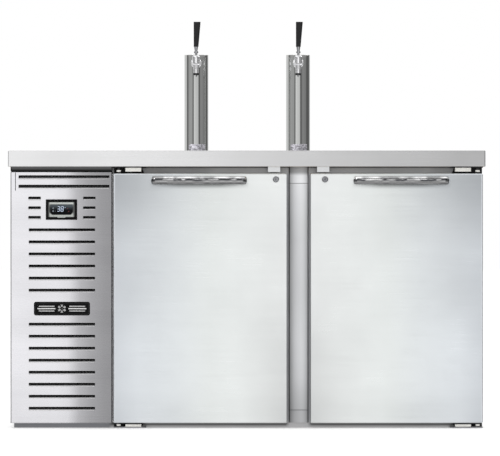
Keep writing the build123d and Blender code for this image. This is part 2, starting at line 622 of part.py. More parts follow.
def make_faucet_bodies():
    """Chrome faucets: coupling nut, barrel, ball socket and spout."""
    bodies, bonnets = [], []
    swing = math.radians(LEVER_TRAVEL)
    for x in TOWER_X:
        axis = (x, SEAT_Y, SHANK_Z)
        front_y = FAUCET_Y - BODY_RADIUS
        body = rod(axis, (0, -1, 0), BODY_RADIUS, SEAT_Y - FAUCET_Y)
        nut = rod((x, BOLT_Y - 4.6, SHANK_Z), (0, -1, 0), COUPLING_RADIUS, 17.0)
        nut = fillet(nut.edges().group_by(Axis.Y)[0], 3.0)
        nut -= rod((x, BOLT_Y, SHANK_Z), (0, -1, 0), 11.1, 16.2)
        body += nut
        body += Pos(x, FAUCET_Y, SHANK_Z) * Sphere(BODY_RADIUS)
        body += rod((x, FAUCET_Y, SHANK_Z), (0, 0, 1), BODY_RADIUS, PIVOT_Z - SHANK_Z)
        spout_length = SHANK_Z - SPOUT_BOTTOM
        body += upright_cone((x, FAUCET_Y, SHANK_Z - 22), SPOUT_RADIUS, BODY_RADIUS - 1, 14)
        body += rod((x, FAUCET_Y, SPOUT_BOTTOM), (0, 0, 1), SPOUT_RADIUS, spout_length)
        body -= rod((x, SEAT_Y + 1, SHANK_Z), (0, -1, 0), STEM_RADIUS + GAP, SEAT_Y - FAUCET_Y + 10)
        body -= rod((x, FAUCET_Y, SPOUT_BOTTOM - 1), (0, 0, 1), 6.0, spout_length)
        body -= Pos(x, FAUCET_Y, PIVOT_Z) * Sphere(PIVOT_RADIUS + 0.1)
        body -= block((x - 3, x + 3), (FAUCET_Y - 3.4, FAUCET_Y + 8.5), (SHANK_Z, PIVOT_Z))
        bodies.append(body)

        bonnet = rod((x, FAUCET_Y, PIVOT_Z), (0, 0, 1), BODY_RADIUS, BONNET_HEIGHT)
        bonnet = fillet(bonnet.faces().sort_by(Axis.Z)[-1].edges(), 6.0)
        bonnet -= Pos(x, FAUCET_Y, PIVOT_Z) * Sphere(PIVOT_RADIUS + 0.1)
        slot_half = NECK_RADIUS + 0.5
        slot_y = (FAUCET_Y - BONNET_HEIGHT * math.tan(swing) - slot_half - 0.4, FAUCET_Y + slot_half)
        slot_z = (PIVOT_Z + 1, PIVOT_Z + BONNET_HEIGHT + 1)
        bonnet -= block((x - slot_half, x + slot_half), slot_y, slot_z)
        bonnets.append(bonnet)
    save("faucet_bodies", *bodies)
    save("faucet_bonnets", *bonnets)


def make_tap(side, x):
    """Lever with ball, tail and ferrule, its black handle and the valve plunger."""
    lever = Pos(x, FAUCET_Y, PIVOT_Z) * Sphere(PIVOT_RADIUS)
    lever += rod((x, FAUCET_Y, PIVOT_Z), (0, 0, -1), 2.4, 13.0)
    lever += rod((x, FAUCET_Y, PIVOT_Z), (0, 0, 1), NECK_RADIUS, HANDLE_BOTTOM - PIVOT_Z)
    collar = rod((x, FAUCET_Y, COLLAR_Z[0]), (0, 0, 1), 7.0, COLLAR_Z[1] - COLLAR_Z[0])
    lever += fillet(collar.edges().group_by(Axis.Z)[0], 2.0)
    lever += upright_cone((x, FAUCET_Y, COLLAR_Z[1]), 4.2, 6.6, HANDLE_BOTTOM - COLLAR_Z[1])
    save(f"tap_lever_{side}", lever)

    bottom = Plane(origin=(x, FAUCET_Y, HANDLE_BOTTOM)) * RectangleRounded(15.0, 13.0, 4.0)
    top = Plane(origin=(x + HANDLE_LEAN, FAUCET_Y, LEVER_TOP)) * RectangleRounded(22.0, 17.0, 5.0)
    handle = loft([bottom, top])
    handle = fillet(handle.faces().sort_by(Axis.Z)[-1].edges(), 1.2)
    save(f"tap_handle_{side}", handle)

    tip_y = FAUCET_Y - 7.0
    plunger = rod((x, tip_y, SHANK_Z), (0, 1, 0), STEM_RADIUS, SEAT_Y + 6 - tip_y)
    plunger += rod((x, SEAT_Y + 0.6, SHANK_Z), (0, 1, 0), 7.4, 3.0)
    plunger -= block((x - 2.8, x + 2.8), (FAUCET_Y - 4.0, FAUCET_Y + 4.0), (SHANK_Z - 2.5, SHANK_Z + 8))
    save(f"plunger_{side}", plunger)


# ---------------------------------------------------------------- refrigeration
def fan(hub_radius, tip_radius, blades, depth, pitch):
    """A bladed fan about Z with its hub standing on the XY plane."""
    wheel = Cylinder(hub_radius, depth, align=(Align.CENTER, Align.CENTER, Align.MIN))
    length = tip_radius - hub_radius
    for turn in range(blades):
        blade = extrude(Trapezoid(tip_radius * 0.95, length + 2, 100, 100, rotation=180), 1.0, both=True)
        blade = Pos(0, hub_radius + length / 2 - 1, depth / 2) * Rot(0, pitch, 0) * blade
        wheel += Rot(0, 0, 360 * turn / blades) * blade
    rim = Cylinder(tip_radius, depth * 3, align=(Align.CENTER, Align.CENTER, Align.CENTER))
    bore = Cylinder(3.05, depth * 4, align=(Align.CENTER, Align.CENTER, Align.CENTER))
    return (wheel & rim) - bore


def make_condensing_unit():
    tray_x, tray_y = (BAY_LEFT + 8, BAY_RIGHT - 8), (FRAME_FRONT + 12, BODY_BACK - 12)
    tray = pan(tray_x, tray_y, (TRAY_Z - 2, TRAY_Z + 14), ("z", 1))
    save("unit_tray", tray)
    floor_z = TRAY_Z - 2 + SHEET

    cx, cy = COMPRESSOR
    feet_z = floor_z + MOUNT_HEIGHT
    shell = rod((cx, cy, feet_z + 3), (0, 0, 1), COMPRESSOR_RADIUS, 150)
    shell = fillet(shell.faces().sort_by(Axis.Z)[-1].edges(), 42.0)
    shell = fillet(shell.faces().sort_by(Axis.Z)[0].edges(), 10.0)
    shell += tube((cx, cy, feet_z + 78), (0, 0, 1), COMPRESSOR_RADIUS + 2.5, COMPRESSOR_RADIUS - 4, 5)
    foot = block((cx - 90, cx + 90), (cy - 70, cy + 70), (feet_z, feet_z + 4))
    shell += fillet(foot.edges().filter_by(Axis.Z), 18.0)
    shell += block((cx - 26, cx + 26), (cy - 96, cy - 62), (feet_z + 40, feet_z + 100))
    save("compressor", shell)
    make_lines(shell)
    places = [(cx + sx * 76, cy + sy * 56) for sx in (-1, 1) for sy in (-1, 1)]
    mounts = [rod((px, py, floor_z), (0, 0, 1), 11.0, MOUNT_HEIGHT) for px, py in places]
    save("compressor_mounts", *mounts)

    coil = block(COIL_X, COIL_Y, COIL_Z)
    pitch = 11.5
    for index in range(int((COIL_X[1] - COIL_X[0]) / pitch) - 1):
        x = COIL_X[0] + pitch * (index + 1)
        coil -= block((x, x + 6), (COIL_Y[0] - 1, COIL_Y[0] + 16), (COIL_Z[0] + 8, COIL_Z[1] - 8))
        coil -= block((x, x + 6), (COIL_Y[1] - 16, COIL_Y[1] + 1), (COIL_Z[0] + 8, COIL_Z[1] - 8))
    coil += block((COIL_X[0], COIL_X[1]), (COIL_Y[0] + 8, COIL_Y[1] - 8), (floor_z, COIL_Z[0]))
    save("condenser_coil", coil)

    fx, fy, fz = FAN_CENTRE
    shroud = pan(COIL_X, (COIL_Y[1], COIL_Y[1] + 34), COIL_Z, ("y", 0))
    shroud -= rod((fx, COIL_Y[1], fz), (0, 1, 0), FAN_RADIUS + 4, 60)
    shroud += tube((fx, COIL_Y[1] + 34, fz), (0, 1, 0), FAN_RADIUS + 6, FAN_RADIUS + 4, 22)
    save("condenser_shroud", shroud)


def make_fans():
    """Two axial fans with their motors and motor brackets."""
    fx, fy, fz = FAN_CENTRE
    wheel = fan(22, FAN_RADIUS, 5, 14, 28)
    save("condenser_fan", Plane(origin=(fx, fy - 12, fz), x_dir=(1, 0, 0), z_dir=(0, 1, 0)) * wheel)
    motor = rod((fx, fy + 22, fz), (0, 1, 0), 34.0, 46)
    motor = fillet(motor.edges().group_by(Axis.Y)[-1], 8.0)
    motor += rod((fx, fy - 8, fz), (0, 1, 0), 3.0, 34)
    leg_low = TRAY_Z - 2 + SHEET
    motor += block((fx - 14, fx + 14), (fy + 40, fy + 44), (leg_low, fz))
    motor += block((fx - 14, fx + 14), (fy + 24, fy + 60), (leg_low, leg_low + 3))

    ex, ey, ez = EVAPORATOR_FAN
    small = fan(14, EVAPORATOR_FAN_RADIUS, 5, 10, 28)
    save("evaporator_fan", Plane(origin=(ex + 6, ey, ez), x_dir=(0, 1, 0), z_dir=(1, 0, 0)) * small)
    pod = rod((ROOM_LEFT + 34, ey, ez), (1, 0, 0), 17.0, 20)
    pod += rod((ROOM_LEFT + 54, ey, ez), (1, 0, 0), 3.0, 18)
    pod += block((ROOM_LEFT + 34, ROOM_LEFT + 37), (ey - 10, ey + 10), (ez - 130, ez))
    pod += block((ROOM_LEFT, ROOM_LEFT + 37), (ey - 10, ey + 10), (ez - 133, ez - 130))
    save("fan_motors", motor, pod)


def make_evaporator():
    cover_x = (ROOM_LEFT, ROOM_LEFT + EVAPORATOR_DEPTH)
    cover = pan(cover_x, EVAPORATOR_Y, EVAPORATOR_Z, ("x", 0))
    ex, ey, ez = EVAPORATOR_FAN
    cover -= rod((cover_x[1] - 10, ey, ez), (1, 0, 0), EVAPORATOR_FAN_RADIUS + 5, 20)
    for row in range(3):
        vent = Rot(0, 0, 90) * slot((ey, -cover_x[1], 500 + 22 * row), 220, 9, 10)
        cover -= vent
    save("evaporator_cover", cover)
    coil = block((ROOM_LEFT + 3, ROOM_LEFT + 30), (EVAPORATOR_Y[0] + 20, EVAPORATOR_Y[1] - 4), (525, 728))
    for index in range(23):
        y = EVAPORATOR_Y[0] + 29 + 12.5 * index
        coil -= block((ROOM_LEFT + 16, ROOM_LEFT + 31), (y, y + 7), (532, 721))
    coil += block((ROOM_LEFT, ROOM_LEFT + 3), (-90, 180), (600, 620))
    for height in LINE_HEIGHTS:
        coil -= rod((ROOM_LEFT - 1, LINE_Y, height), (1, 0, 0), 6.0, 10)
    save("evaporator_coil", coil)


def make_lines(shell):
    """Copper pipes between compressor, condenser, drier and evaporator, with the drier."""
    cx, cy = COMPRESSOR
    top = TRAY_Z + 172
    wall = ROOM_LEFT + 12
    coil_y = sum(COIL_Y) / 2
    left = cx - 40
    over = COIL_Z[1] + 25
    discharge_route = [
        (left, cy, top - 20),
        (left, cy, over),
        (left, coil_y, over),
        (left, coil_y, COIL_Z[1]),
    ]
    discharge = pipe(discharge_route, 4.0, 20)
    side = COIL_X[1] - 20
    liquid_route = [
        (side, coil_y, COIL_Z[1]),
        (side, coil_y, 380),
        (side, 90, 380),
        (side, 90, LINE_HEIGHTS[0]),
        (side, LINE_Y, LINE_HEIGHTS[0]),
        (wall, LINE_Y, LINE_HEIGHTS[0]),
    ]
    liquid = pipe(liquid_route, 3.2, 16)
    drier = rod((side, -100, 380), (0, 1, 0), 15.0, 110)
    drier = fillet(drier.edges(), 8.0)
    right = cx + 30
    suction_top = LINE_HEIGHTS[1]
    suction_route = [(wall, LINE_Y, suction_top), (right, LINE_Y, suction_top), (right, LINE_Y, top - 40)]
    suction = pipe(suction_route, 4.8, 22)
    save("refrigerant_lines", discharge - shell, liquid + drier, suction - shell)


def make_condensate_pan():
    """Evaporating pan that hangs on the divider above the compressor."""
    tray = pan((-640, BAY_RIGHT), (-60, 60), (240, 285), ("z", 1))
    save("condensate_pan", tray)


def make_gland():
    body = rod((GLAND_X, BODY_BACK, GLAND_Z), (0, 1, 0), 14.0, 2.6)
    body += rod((GLAND_X, BODY_BACK - 8, GLAND_Z), (0, 1, 0), GLAND_HOLE - 0.1, 9)
    body -= rod((GLAND_X, BODY_BACK - 20, GLAND_Z), (0, 1, 0), 5.0, 40)
    save("cord_gland", body)


def main():
    os.makedirs("parts", exist_ok=True)
    make_worktop()
    make_outer_panels()
    make_base()
    make_insulation()
    make_liner()
    make_face_frame()
    make_mullion_cover()
    make_grille()
    make_badge()
    make_controller()
    make_hinges()
    make_strikes()
    for side, edges in (("left", LEFT_DOOR), ("right", RIGHT_DOOR)):
        make_door(side, edges)
        make_lock(side)
    for side, centre_x in DOOR_HANDLE_X.items():
        make_handle(f"door_handle_{side}", centre_x)
    make_towers()
    make_faucet_bodies()
    for side, x in zip(("left", "right"), TOWER_X):
        make_tap(side, x)
    make_condensing_unit()
    make_fans()
    make_evaporator()
    make_condensate_pan()
    make_gland()


main()
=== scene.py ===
"""Looks of a two-door beer cooler with two draught towers.

Metres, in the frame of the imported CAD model: +Z is up, the front faces -Y and the origin is on
the floor under the middle of the cabinet.
"""
import json
import math

import bmesh
import bpy
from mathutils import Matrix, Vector


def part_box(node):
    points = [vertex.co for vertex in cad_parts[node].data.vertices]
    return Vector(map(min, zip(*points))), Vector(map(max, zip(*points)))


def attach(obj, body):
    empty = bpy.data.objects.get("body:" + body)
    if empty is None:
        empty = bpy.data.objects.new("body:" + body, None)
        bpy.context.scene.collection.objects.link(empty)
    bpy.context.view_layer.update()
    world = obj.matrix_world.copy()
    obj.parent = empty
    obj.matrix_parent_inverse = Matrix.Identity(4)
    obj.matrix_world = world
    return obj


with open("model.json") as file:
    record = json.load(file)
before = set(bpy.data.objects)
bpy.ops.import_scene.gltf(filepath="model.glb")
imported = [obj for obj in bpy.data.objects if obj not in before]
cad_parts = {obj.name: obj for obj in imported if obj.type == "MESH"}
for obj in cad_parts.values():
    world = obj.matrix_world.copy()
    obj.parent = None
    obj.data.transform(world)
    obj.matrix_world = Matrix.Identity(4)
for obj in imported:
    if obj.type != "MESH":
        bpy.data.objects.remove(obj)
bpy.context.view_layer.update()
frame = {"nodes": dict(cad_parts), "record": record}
NODES = frame["nodes"]
SLOT_OF = {part["node"]: part["material_slot"] for part in frame["record"]["subparts"]}

# ---------------------------------------------------------------- places
GRILLE_LOW, GRILLE_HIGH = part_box("grille")
BADGE_LOW, BADGE_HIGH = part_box("badge")
LENS_LOW, LENS_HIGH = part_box("display_lens")
UNIT_LOW, UNIT_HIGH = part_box("control_unit")
WORKTOP_LOW, WORKTOP_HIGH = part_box("worktop")
REAR_LOW, REAR_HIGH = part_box("rear_panel")
FAN_COVER_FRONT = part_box("evaporator_cover")[1].x
POST_LOW, POST_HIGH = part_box("mullion_cover")
PULL_LOW, PULL_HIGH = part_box("door_handle_left")
PULL_SPANS = [(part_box(f"door_handle_{side}")[0].x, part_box(f"door_handle_{side}")[1].x)
              for side in ("left", "right")]
COLUMNS_LOW, COLUMNS_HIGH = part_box("tower_columns")
COLUMN_WIDE = COLUMNS_HIGH.y - COLUMNS_LOW.y
LOCK_RADIUS = 0.0095
FAN_GUARD_CENTRE = (0.040, 0.650)       # y and z of the evaporator fan's axis

# The grille's slots: x and z of the middle, half the length, half the height.
UPPER_SLOTS = [0.6228 - 0.0379 * row for row in range(6)]
LOWER_SLOTS = [0.3265 - 0.0377 * row for row in range(8)]
SHORT_SLOTS = [(x, z) for x in (-0.6660, -0.4941) for z in (0.7229, 0.6922, 0.6620)]
SLITS = (
    [(-0.5800, z, 0.104, 0.00475) for z in UPPER_SLOTS + LOWER_SLOTS]
    + [(-0.5736, z, 0.1425, 0.00525) for z in (0.7891, 0.7593)]
    + [(x, z, 0.0195, 0.0045) for x, z in SHORT_SLOTS]
)
SLOT_CORNER = 0.0018


# ---------------------------------------------------------------- shader nodes
WHITE = (1.0, 1.0, 1.0)
USUAL = (0.3, 0.7)          # most values of a noise lie between these


class Tree:
    """A node tree, with short calls for what the materials and the world share."""

    def __init__(self, tree):
        self.nodes, self.links = tree.nodes, tree.links

    def feed(self, socket, value):
        """Link a socket to another one, or set its value."""
        if isinstance(value, bpy.types.NodeSocket):
            self.links.new(value, socket)
        else:
            socket.default_value = value

    def add(self, kind, inputs=None, **settings):
        node = self.nodes.new(kind)
        for key, value in settings.items():
            setattr(node, key, value)
        for key, value in (inputs or {}).items():
            self.feed(node.inputs[key], value)
        return node

    def calc(self, operation, a, b):
        return self.add("ShaderNodeMath", {0: a, 1: b}, operation=operation).outputs[0]

    def ranged(self, value, source, target=(0.0, 1.0), smooth=False):
        """Map a value from one (low, high) pair to another, clamped."""
        kind = "SMOOTHSTEP" if smooth else "LINEAR"
        inputs = {"Value": value, 1: source[0], 2: source[1], 3: target[0], 4: target[1]}
        return self.add("ShaderNodeMapRange", inputs, interpolation_type=kind).outputs[0]

    def stops(self, value, pairs):
        """A grey or coloured ramp from (position, value or colour) pairs."""
        ramp = self.add("ShaderNodeValToRGB", {"Fac": value})
        elements = ramp.color_ramp.elements
        while len(elements) < len(pairs):
            elements.new(0.5)
        for element, (position, level) in zip(elements, pairs):
            colour = level if isinstance(level, tuple) else (level,) * 3
            element.position = position
            element.color = (*colour, 1.0)
        return ramp.outputs["Color"]

    def blend(self, first, second, share):
        """Mix two colours, each a tuple or a socket."""
        node = self.add("ShaderNodeMix", data_type="RGBA")
        self.feed(node.inputs["Factor"], share)
        for name, colour in (("A", first), ("B", second)):
            self.feed(node.inputs[name], (*colour, 1.0) if isinstance(colour, tuple) else colour)
        return node.outputs["Result"]


class Shader(Tree):
    """One material, whose patterns are laid out in the object's own metres."""

    def __init__(self, name):
        self.material = bpy.data.materials.new(name)
        self.material.use_nodes = True
        super().__init__(self.material.node_tree)
        self.surface = self.nodes["Principled BSDF"]
        self.place = self.add("ShaderNodeTexCoord").outputs["Object"]

    def product(self, *values):
        result = values[0]
        for value in values[1:]:
            result = self.calc("MULTIPLY", result, value)
        return result

    def stretched(self, scale):
        """The place on the object times a scale, for a pattern to be drawn there."""
        return self.add("ShaderNodeMapping", {"Vector": self.place, "Scale": scale}).outputs[0]

    def noise(self, stretch, detail=2.0, rough=0.5):
        inputs = {"Vector": self.stretched(stretch), "Scale": 1.0, "Detail": detail,
                  "Roughness": rough}
        return self.add("ShaderNodeTexNoise", inputs).outputs["Fac"]

    def cells(self, stretch, output="Distance"):
        inputs = {"Vector": self.stretched(stretch), "Scale": 1.0}
        return self.add("ShaderNodeTexVoronoi", inputs).outputs[output]

    def along(self, letter, low, high, target=(0.0, 1.0), smooth=False):
        """The position along an axis, mapped from between two places to a target pair."""
        place = self.add("ShaderNodeSeparateXYZ", {0: self.place}).outputs[letter]
        return self.ranged(place, (low, high), target, smooth)

    def within(self, letter, low, high, fade, least=0.0):
        """1 between two places along an axis, less over a short way inside either end."""
        return self.product(self.along(letter, low, low + fade, (least, 1.0)),
                            self.along(letter, high, high - fade, (least, 1.0)))

    def tinted(self, colour, factor):
        """A colour times a factor that may be a grey or a colour socket."""
        inputs = {0: colour, 1: factor}
        return self.add("ShaderNodeVectorMath", inputs, operation="MULTIPLY").outputs[0]

    def bump(self, height, strength, distance):
        inputs = {"Height": height, "Strength": strength, "Distance": distance}
        return self.add("ShaderNodeBump", inputs).outputs[0]

    def finish(self, **sockets):
        for name, value in sockets.items():
            self.feed(self.surface.inputs[name.replace("_", " ")], value)
        return self.material


# ---------------------------------------------------------------- finishes
ALONG_X = {"fine": (5.0, 700.0, 700.0), "broad": (1.3, 60.0, 60.0)}
ALONG_Z = {"fine": (700.0, 700.0, 5.0), "broad": (60.0, 60.0, 1.3)}


def brushed(name, colour, rough, grain=ALONG_X, streak=0.05, relief=0.06, tone=None):
    """Brushed stainless sheet: fine scratches, broader streaks, faint smudges."""
    s = Shader(name)
    fine = s.noise(grain["fine"], 2.0)
    broad = s.noise(grain["broad"], 3.0)
    smudge = s.noise((5.0,) * 3, 5.0, 0.6)
    spread = s.calc("ADD", s.ranged(fine, (0.2, 0.8), (-streak, streak)), 1.0)
    spread = s.calc("ADD", spread, s.ranged(broad, USUAL, (-streak / 2, streak / 2)))
    spread = s.calc("ADD", spread, s.ranged(smudge, USUAL, (-0.012, 0.012)))
    shade = s.tinted(colour, spread)
    if tone:
        shade = s.tinted(shade, tone(s))
    roughness = s.calc("ADD", s.ranged(fine, (0.2, 0.8), (rough - 0.05, rough + 0.05)),
                       s.ranged(smudge, (0.35, 0.7), (-0.02, 0.05)))
    return s.finish(Base_Color=shade, Metallic=1.0, Roughness=roughness,
                    Normal=s.bump(fine, relief, 0.0003))


def polished(name, colour, rough, wipe=0.03, ripple=0.0, tone=None):
    """Mirror-polished or chromed metal with faint wipe marks and a trace of orange peel."""
    s = Shader(name)
    smear = s.noise((18.0, 18.0, 6.0), 4.0, 0.65)
    hair = s.noise((900.0, 900.0, 30.0), 2.0)
    shade = s.tinted(colour, s.ranged(smear, USUAL, (0.97, 1.02)))
    if tone:
        shade = s.tinted(shade, tone(s))
    roughness = s.calc("ADD", s.ranged(smear, (0.4, 0.75), (rough, rough + wipe)),
                       s.ranged(hair, (0.5, 0.8), (0.0, 0.02)))
    relief = s.calc("ADD", s.calc("MULTIPLY", s.noise((170.0,) * 3, 1.0), ripple), smear)
    return s.finish(Base_Color=shade, Metallic=1.0, Roughness=roughness,
                    Normal=s.bump(relief, 0.05, 0.0008))


def galvanised(name, colour):
    """Zinc-coated steel with its crystal spangle."""
    s = Shader(name)
    spangle = s.cells((55.0,) * 3, output="Color")
    crystal = s.add("ShaderNodeSeparateColor", {0: spangle}).outputs[0]
    level = s.ranged(crystal, (0.0, 1.0), (0.86, 1.08))
    stain = s.noise((3.0,) * 3, 4.0, 0.6)
    shade = s.tinted(colour, s.product(level, s.ranged(stain, USUAL, (0.92, 1.04))))
    roughness = s.ranged(stain, USUAL, (0.36, 0.52))
    return s.finish(Base_Color=shade, Metallic=1.0, Roughness=roughness,
                    Normal=s.bump(level, 0.05, 0.0004))


def moulded(name, colour, rough, pebble=1400.0, relief=0.12, coat=0.0, variation=0.08, gloss=0.5,
            tone=None):
    """Moulded plastic or rubber with a fine pebble and slight shade changes."""
    s = Shader(name)
    grain = s.noise((pebble,) * 3, 2.0)
    cloud = s.noise((14.0,) * 3, 3.0)
    shade = s.tinted(colour, s.ranged(cloud, USUAL, (1 - variation, 1 + variation)))
    if tone:
        shade = s.tinted(shade, tone(s))
    roughness = s.calc("ADD", s.ranged(grain, USUAL, (rough - 0.04, rough + 0.04)),
                       s.ranged(cloud, USUAL, (-0.04, 0.04)))
    return s.finish(Base_Color=shade, Roughness=roughness, Specular_IOR_Level=gloss,
                    Coat_Weight=coat, Coat_Roughness=0.12, Normal=s.bump(grain, relief, 0.0002))


def painted(name, colour, rough, tone=None):
    """Enamelled steel: a hard coat with orange peel and rubbed, duller patches."""
    s = Shader(name)
    peel = s.noise((260.0,) * 3, 2.0)
    rub = s.noise((22.0,) * 3, 5.0, 0.65)
    shade = s.tinted(colour, s.ranged(rub, (0.35, 0.75), (0.9, 1.35)))
    if tone:
        shade = s.tinted(shade, tone(s))
    roughness = s.ranged(rub, (0.35, 0.7), (rough, rough + 0.2))
    return s.finish(Base_Color=shade, Roughness=roughness, Specular_IOR_Level=0.2,
                    Normal=s.bump(peel, 0.1, 0.0003))


def foamed(name, colour):
    """Foam or board with fine pores under a cloudy skin."""
    s = Shader(name)
    pores = s.cells((380.0,) * 3)
    skin = s.noise((30.0,) * 3, 4.0)
    shade = s.tinted(colour, s.product(s.ranged(pores, (0.0, 0.6), (0.82, 1.05)),
                                       s.ranged(skin, USUAL, (0.93, 1.04))))
    return s.finish(Base_Color=shade, Roughness=0.9, Normal=s.bump(pores, 0.5, 0.0008))


def cast(name, colour, rough):
    """Bare metal with a drawn finish and stains."""
    s = Shader(name)
    stain = s.noise((40.0,) * 3, 5.0, 0.65)
    drawn = s.noise((900.0, 900.0, 60.0), 2.0)
    shade = s.tinted(colour, s.ranged(stain, (0.3, 0.75), (1.03, 0.8)))
    roughness = s.calc("ADD", s.ranged(stain, USUAL, (rough, rough + 0.18)),
                       s.ranged(drawn, USUAL, (-0.03, 0.03)))
    return s.finish(Base_Color=shade, Metallic=1.0, Roughness=roughness,
                    Normal=s.bump(drawn, 0.08, 0.0003))


def mottled(name, colour):
    """Satin foil with a painted reflection: blurred blotches of the room in its colour."""
    s = Shader(name)
    reflected_blotch = s.noise((150.0, 150.0, 210.0), 2.0, 0.6)
    grain = s.noise((500.0,) * 3, 2.0)
    shade = s.tinted(colour, s.ranged(reflected_blotch, (0.40, 0.62), (1.28, 0.62), smooth=True))
    roughness = s.ranged(grain, USUAL, (0.38, 0.52))
    return s.finish(Base_Color=shade, Metallic=0.7, Roughness=roughness,
                    Normal=s.bump(reflected_blotch, 0.2, 0.0006))


def glowing(name, colour, strength):
    """A lit part of the display, with a faint diffuser grain."""
    s = Shader(name)
    grain = s.noise((1500.0,) * 3, 2.0)
    level = s.tinted(colour, s.ranged(grain, USUAL, (0.85, 1.1)))
    return s.finish(Base_Color=level, Roughness=s.ranged(grain, USUAL, (0.3, 0.45)),
                    Emission_Color=level, Emission_Strength=strength)


# ---------------------------------------------------------------- tones laid over the finishes: painted reflections, highlights, shade, and wear
# A ramp is a short list of (position, brightness) or (position, colour) pairs. The numbers were
# given and tuned while comparing renders with the photograph.
# Painted reflection across a door, hinge edge to lock edge: head, middle, lower part, foot, tint.
DOOR_HEAD = [(0.0, 0.50), (0.14, 0.59), (0.30, 0.73), (0.48, 0.82), (0.66, 0.93), (0.84, 0.985),
             (1.0, 0.985)]
DOOR_MIDDLE = [(0.0, 0.73), (0.14, 0.785), (0.30, 0.86), (0.48, 0.93), (0.68, 0.98), (0.84, 0.96),
               (1.0, 0.94)]
DOOR_LOWER = [(0.0, 0.78), (0.14, 0.895), (0.30, 0.93), (0.48, 0.96), (0.70, 0.97), (0.84, 0.92),
              (1.0, 0.82)]
DOOR_FOOT = [(0.0, 0.71), (0.14, 0.82), (0.38, 0.85), (0.60, 0.925), (0.74, 0.93), (0.88, 0.85),
             (1.0, 0.73)]
DOOR_REFLECTION_TINT = [(0.0, (0.955, 1.0, 1.05)), (0.35, (0.96, 1.0, 1.02)), (0.55, (0.965, 1.0, 0.99)),
             (1.0, (0.98, 1.0, 0.995))]
ROLLED_EDGE_HIGHLIGHT = 0.86          # painted highlight: brightness of a door's rolled top and hinge edges
PULL_SHADE = 0.44           # brightness right under a door pull


def shade_below_pull(s):
    """The soft shadow that a door pull throws on the door under it."""
    under = s.along("Z", PULL_LOW.z - 0.017, PULL_LOW.z - 0.001, (1.0, PULL_SHADE), smooth=True)
    above = s.along("Z", PULL_LOW.z + 0.002, PULL_LOW.z + 0.006)
    shares = [s.product(s.within("X", low - 0.006, high + 0.006, 0.091, least=0.1),
                        s.within("X", low - 0.007, high + 0.007, 0.005))
              for low, high in PULL_SPANS]
    loss = s.calc("SUBTRACT", 1.0, s.calc("MAXIMUM", under, above))
    return s.calc("SUBTRACT", 1.0, s.product(s.calc("MAXIMUM", *shares), loss))


def door_painted_reflection(side):
    """Painted reflection: dull toward the hinge edge and its top corner, painted light rolled
    edges.
    """
    low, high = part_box(f"door_skin_{side}")
    hinge_edge, lock_edge = (low.x, high.x) if side == "left" else (high.x, low.x)

    def tone(s):
        across = s.along("X", hinge_edge, lock_edge)
        shade = s.blend(s.stops(across, DOOR_MIDDLE), s.stops(across, DOOR_HEAD),
                        s.along("Z", 0.56, 0.775))
        shade = s.blend(shade, s.stops(across, DOOR_LOWER), s.along("Z", 0.44, 0.25, smooth=True))
        shade = s.blend(shade, s.stops(across, DOOR_FOOT), s.along("Z", 0.14, 0.04, smooth=True))
        haze = s.ranged(s.noise((2.2,) * 3, 2.0), USUAL, (0.985, 1.01))
        # painted highlight along the door's rolled top and hinge edges
        rolled = s.calc("MAXIMUM", s.along("Z", high.z - 0.0042, high.z - 0.0034),
                        s.ranged(across, (0.0095, 0.0070)))
        shade = s.tinted(shade, s.product(haze, shade_below_pull(s)))
        return s.tinted(s.stops(across, DOOR_REFLECTION_TINT), s.blend(shade, (ROLLED_EDGE_HIGHLIGHT,) * 3, rolled))

    return tone


def worktop_painted_falloff(s):
    """Painted reflection: the worktop's front falls off from the left end to the right."""
    across = s.along("X", WORKTOP_LOW.x, WORKTOP_HIGH.x)
    return s.stops(across, [(0.0, 1.0), (0.3, 0.95), (0.5, 0.84), (0.65, 0.75), (0.82, 0.66),
                            (0.94, 0.59), (1.0, 0.58)])


def grille_painted_reflection(s):
    """Painted reflection, bright at left and dull at right, with a wavering border and faint bands.
    """
    across = s.along("X", GRILLE_LOW.x, GRILLE_HIGH.x)
    sway = s.product(s.calc("SUBTRACT", s.noise((0.6, 0.6, 3.0), 1.0), 0.5), 0.16)
    bands = s.ranged(s.noise((0.8, 0.8, 8.0), 1.0), USUAL, (0.92, 1.04))
    # painted shade along the grille's left edge
    edge = s.along("X", GRILLE_LOW.x + 0.0026, GRILLE_LOW.x + 0.0040, (0.5, 1.0))
    fall = s.stops(s.calc("ADD", across, sway), [
        (0.0, 1.0), (0.2, 0.98), (0.44, 0.98), (0.56, 0.90), (0.67, 0.59), (0.78, 0.47),
        (0.92, 0.39), (1.0, 0.37)])
    return s.tinted(fall, s.product(bands, edge))


def lip_painted_highlight(s):
    """Painted highlight: the folded lips face up a little and are lighter than the grille beside
    them.
    """
    return s.blend(grille_painted_reflection(s), WHITE, 0.42)


def frame_tone(s):
    """The face frame lies in the worktop's shade above the doors, and in theirs between them."""
    strip = s.stops(s.along("X", -0.4, 0.75), [
        (0.0, 0.25), (0.235, 0.285), (0.265, 0.36), (0.45, 0.38), (0.62, 0.34), (0.84, 0.37),
        (0.87, 0.30), (1.0, 0.26)])
    under = s.along("Z", 0.8165, 0.8205, (1.0, 0.34), smooth=True)
    recess = s.blend(WHITE, (0.40, 0.405, 0.42), s.within("X", 0.105, 0.218, 0.005))
    return s.blend(recess, s.tinted(strip, under), s.along("Z", 0.799, 0.8))


def base_tone(s):
    """Light along the floor edge, shaded up under the doors, even under grille and mullion."""
    doors = s.stops(s.along("Z", 0.0, 0.016), [(0.0, 0.47), (0.16, 0.47), (0.36, 0.32),
                                               (0.55, 0.15), (0.75, 0.10), (1.0, 0.07)])
    bay = s.along("X", -0.425, -0.435)
    post = s.stops(s.along("X", POST_LOW.x - 0.010, POST_HIGH.x + 0.010),
                   [(0.0, 0.0), (0.16, 1.0), (0.84, 1.0), (1.0, 0.0)])
    return s.blend(s.blend(doors, (0.25, 0.255, 0.27), bay), (0.55, 0.55, 0.555), post)


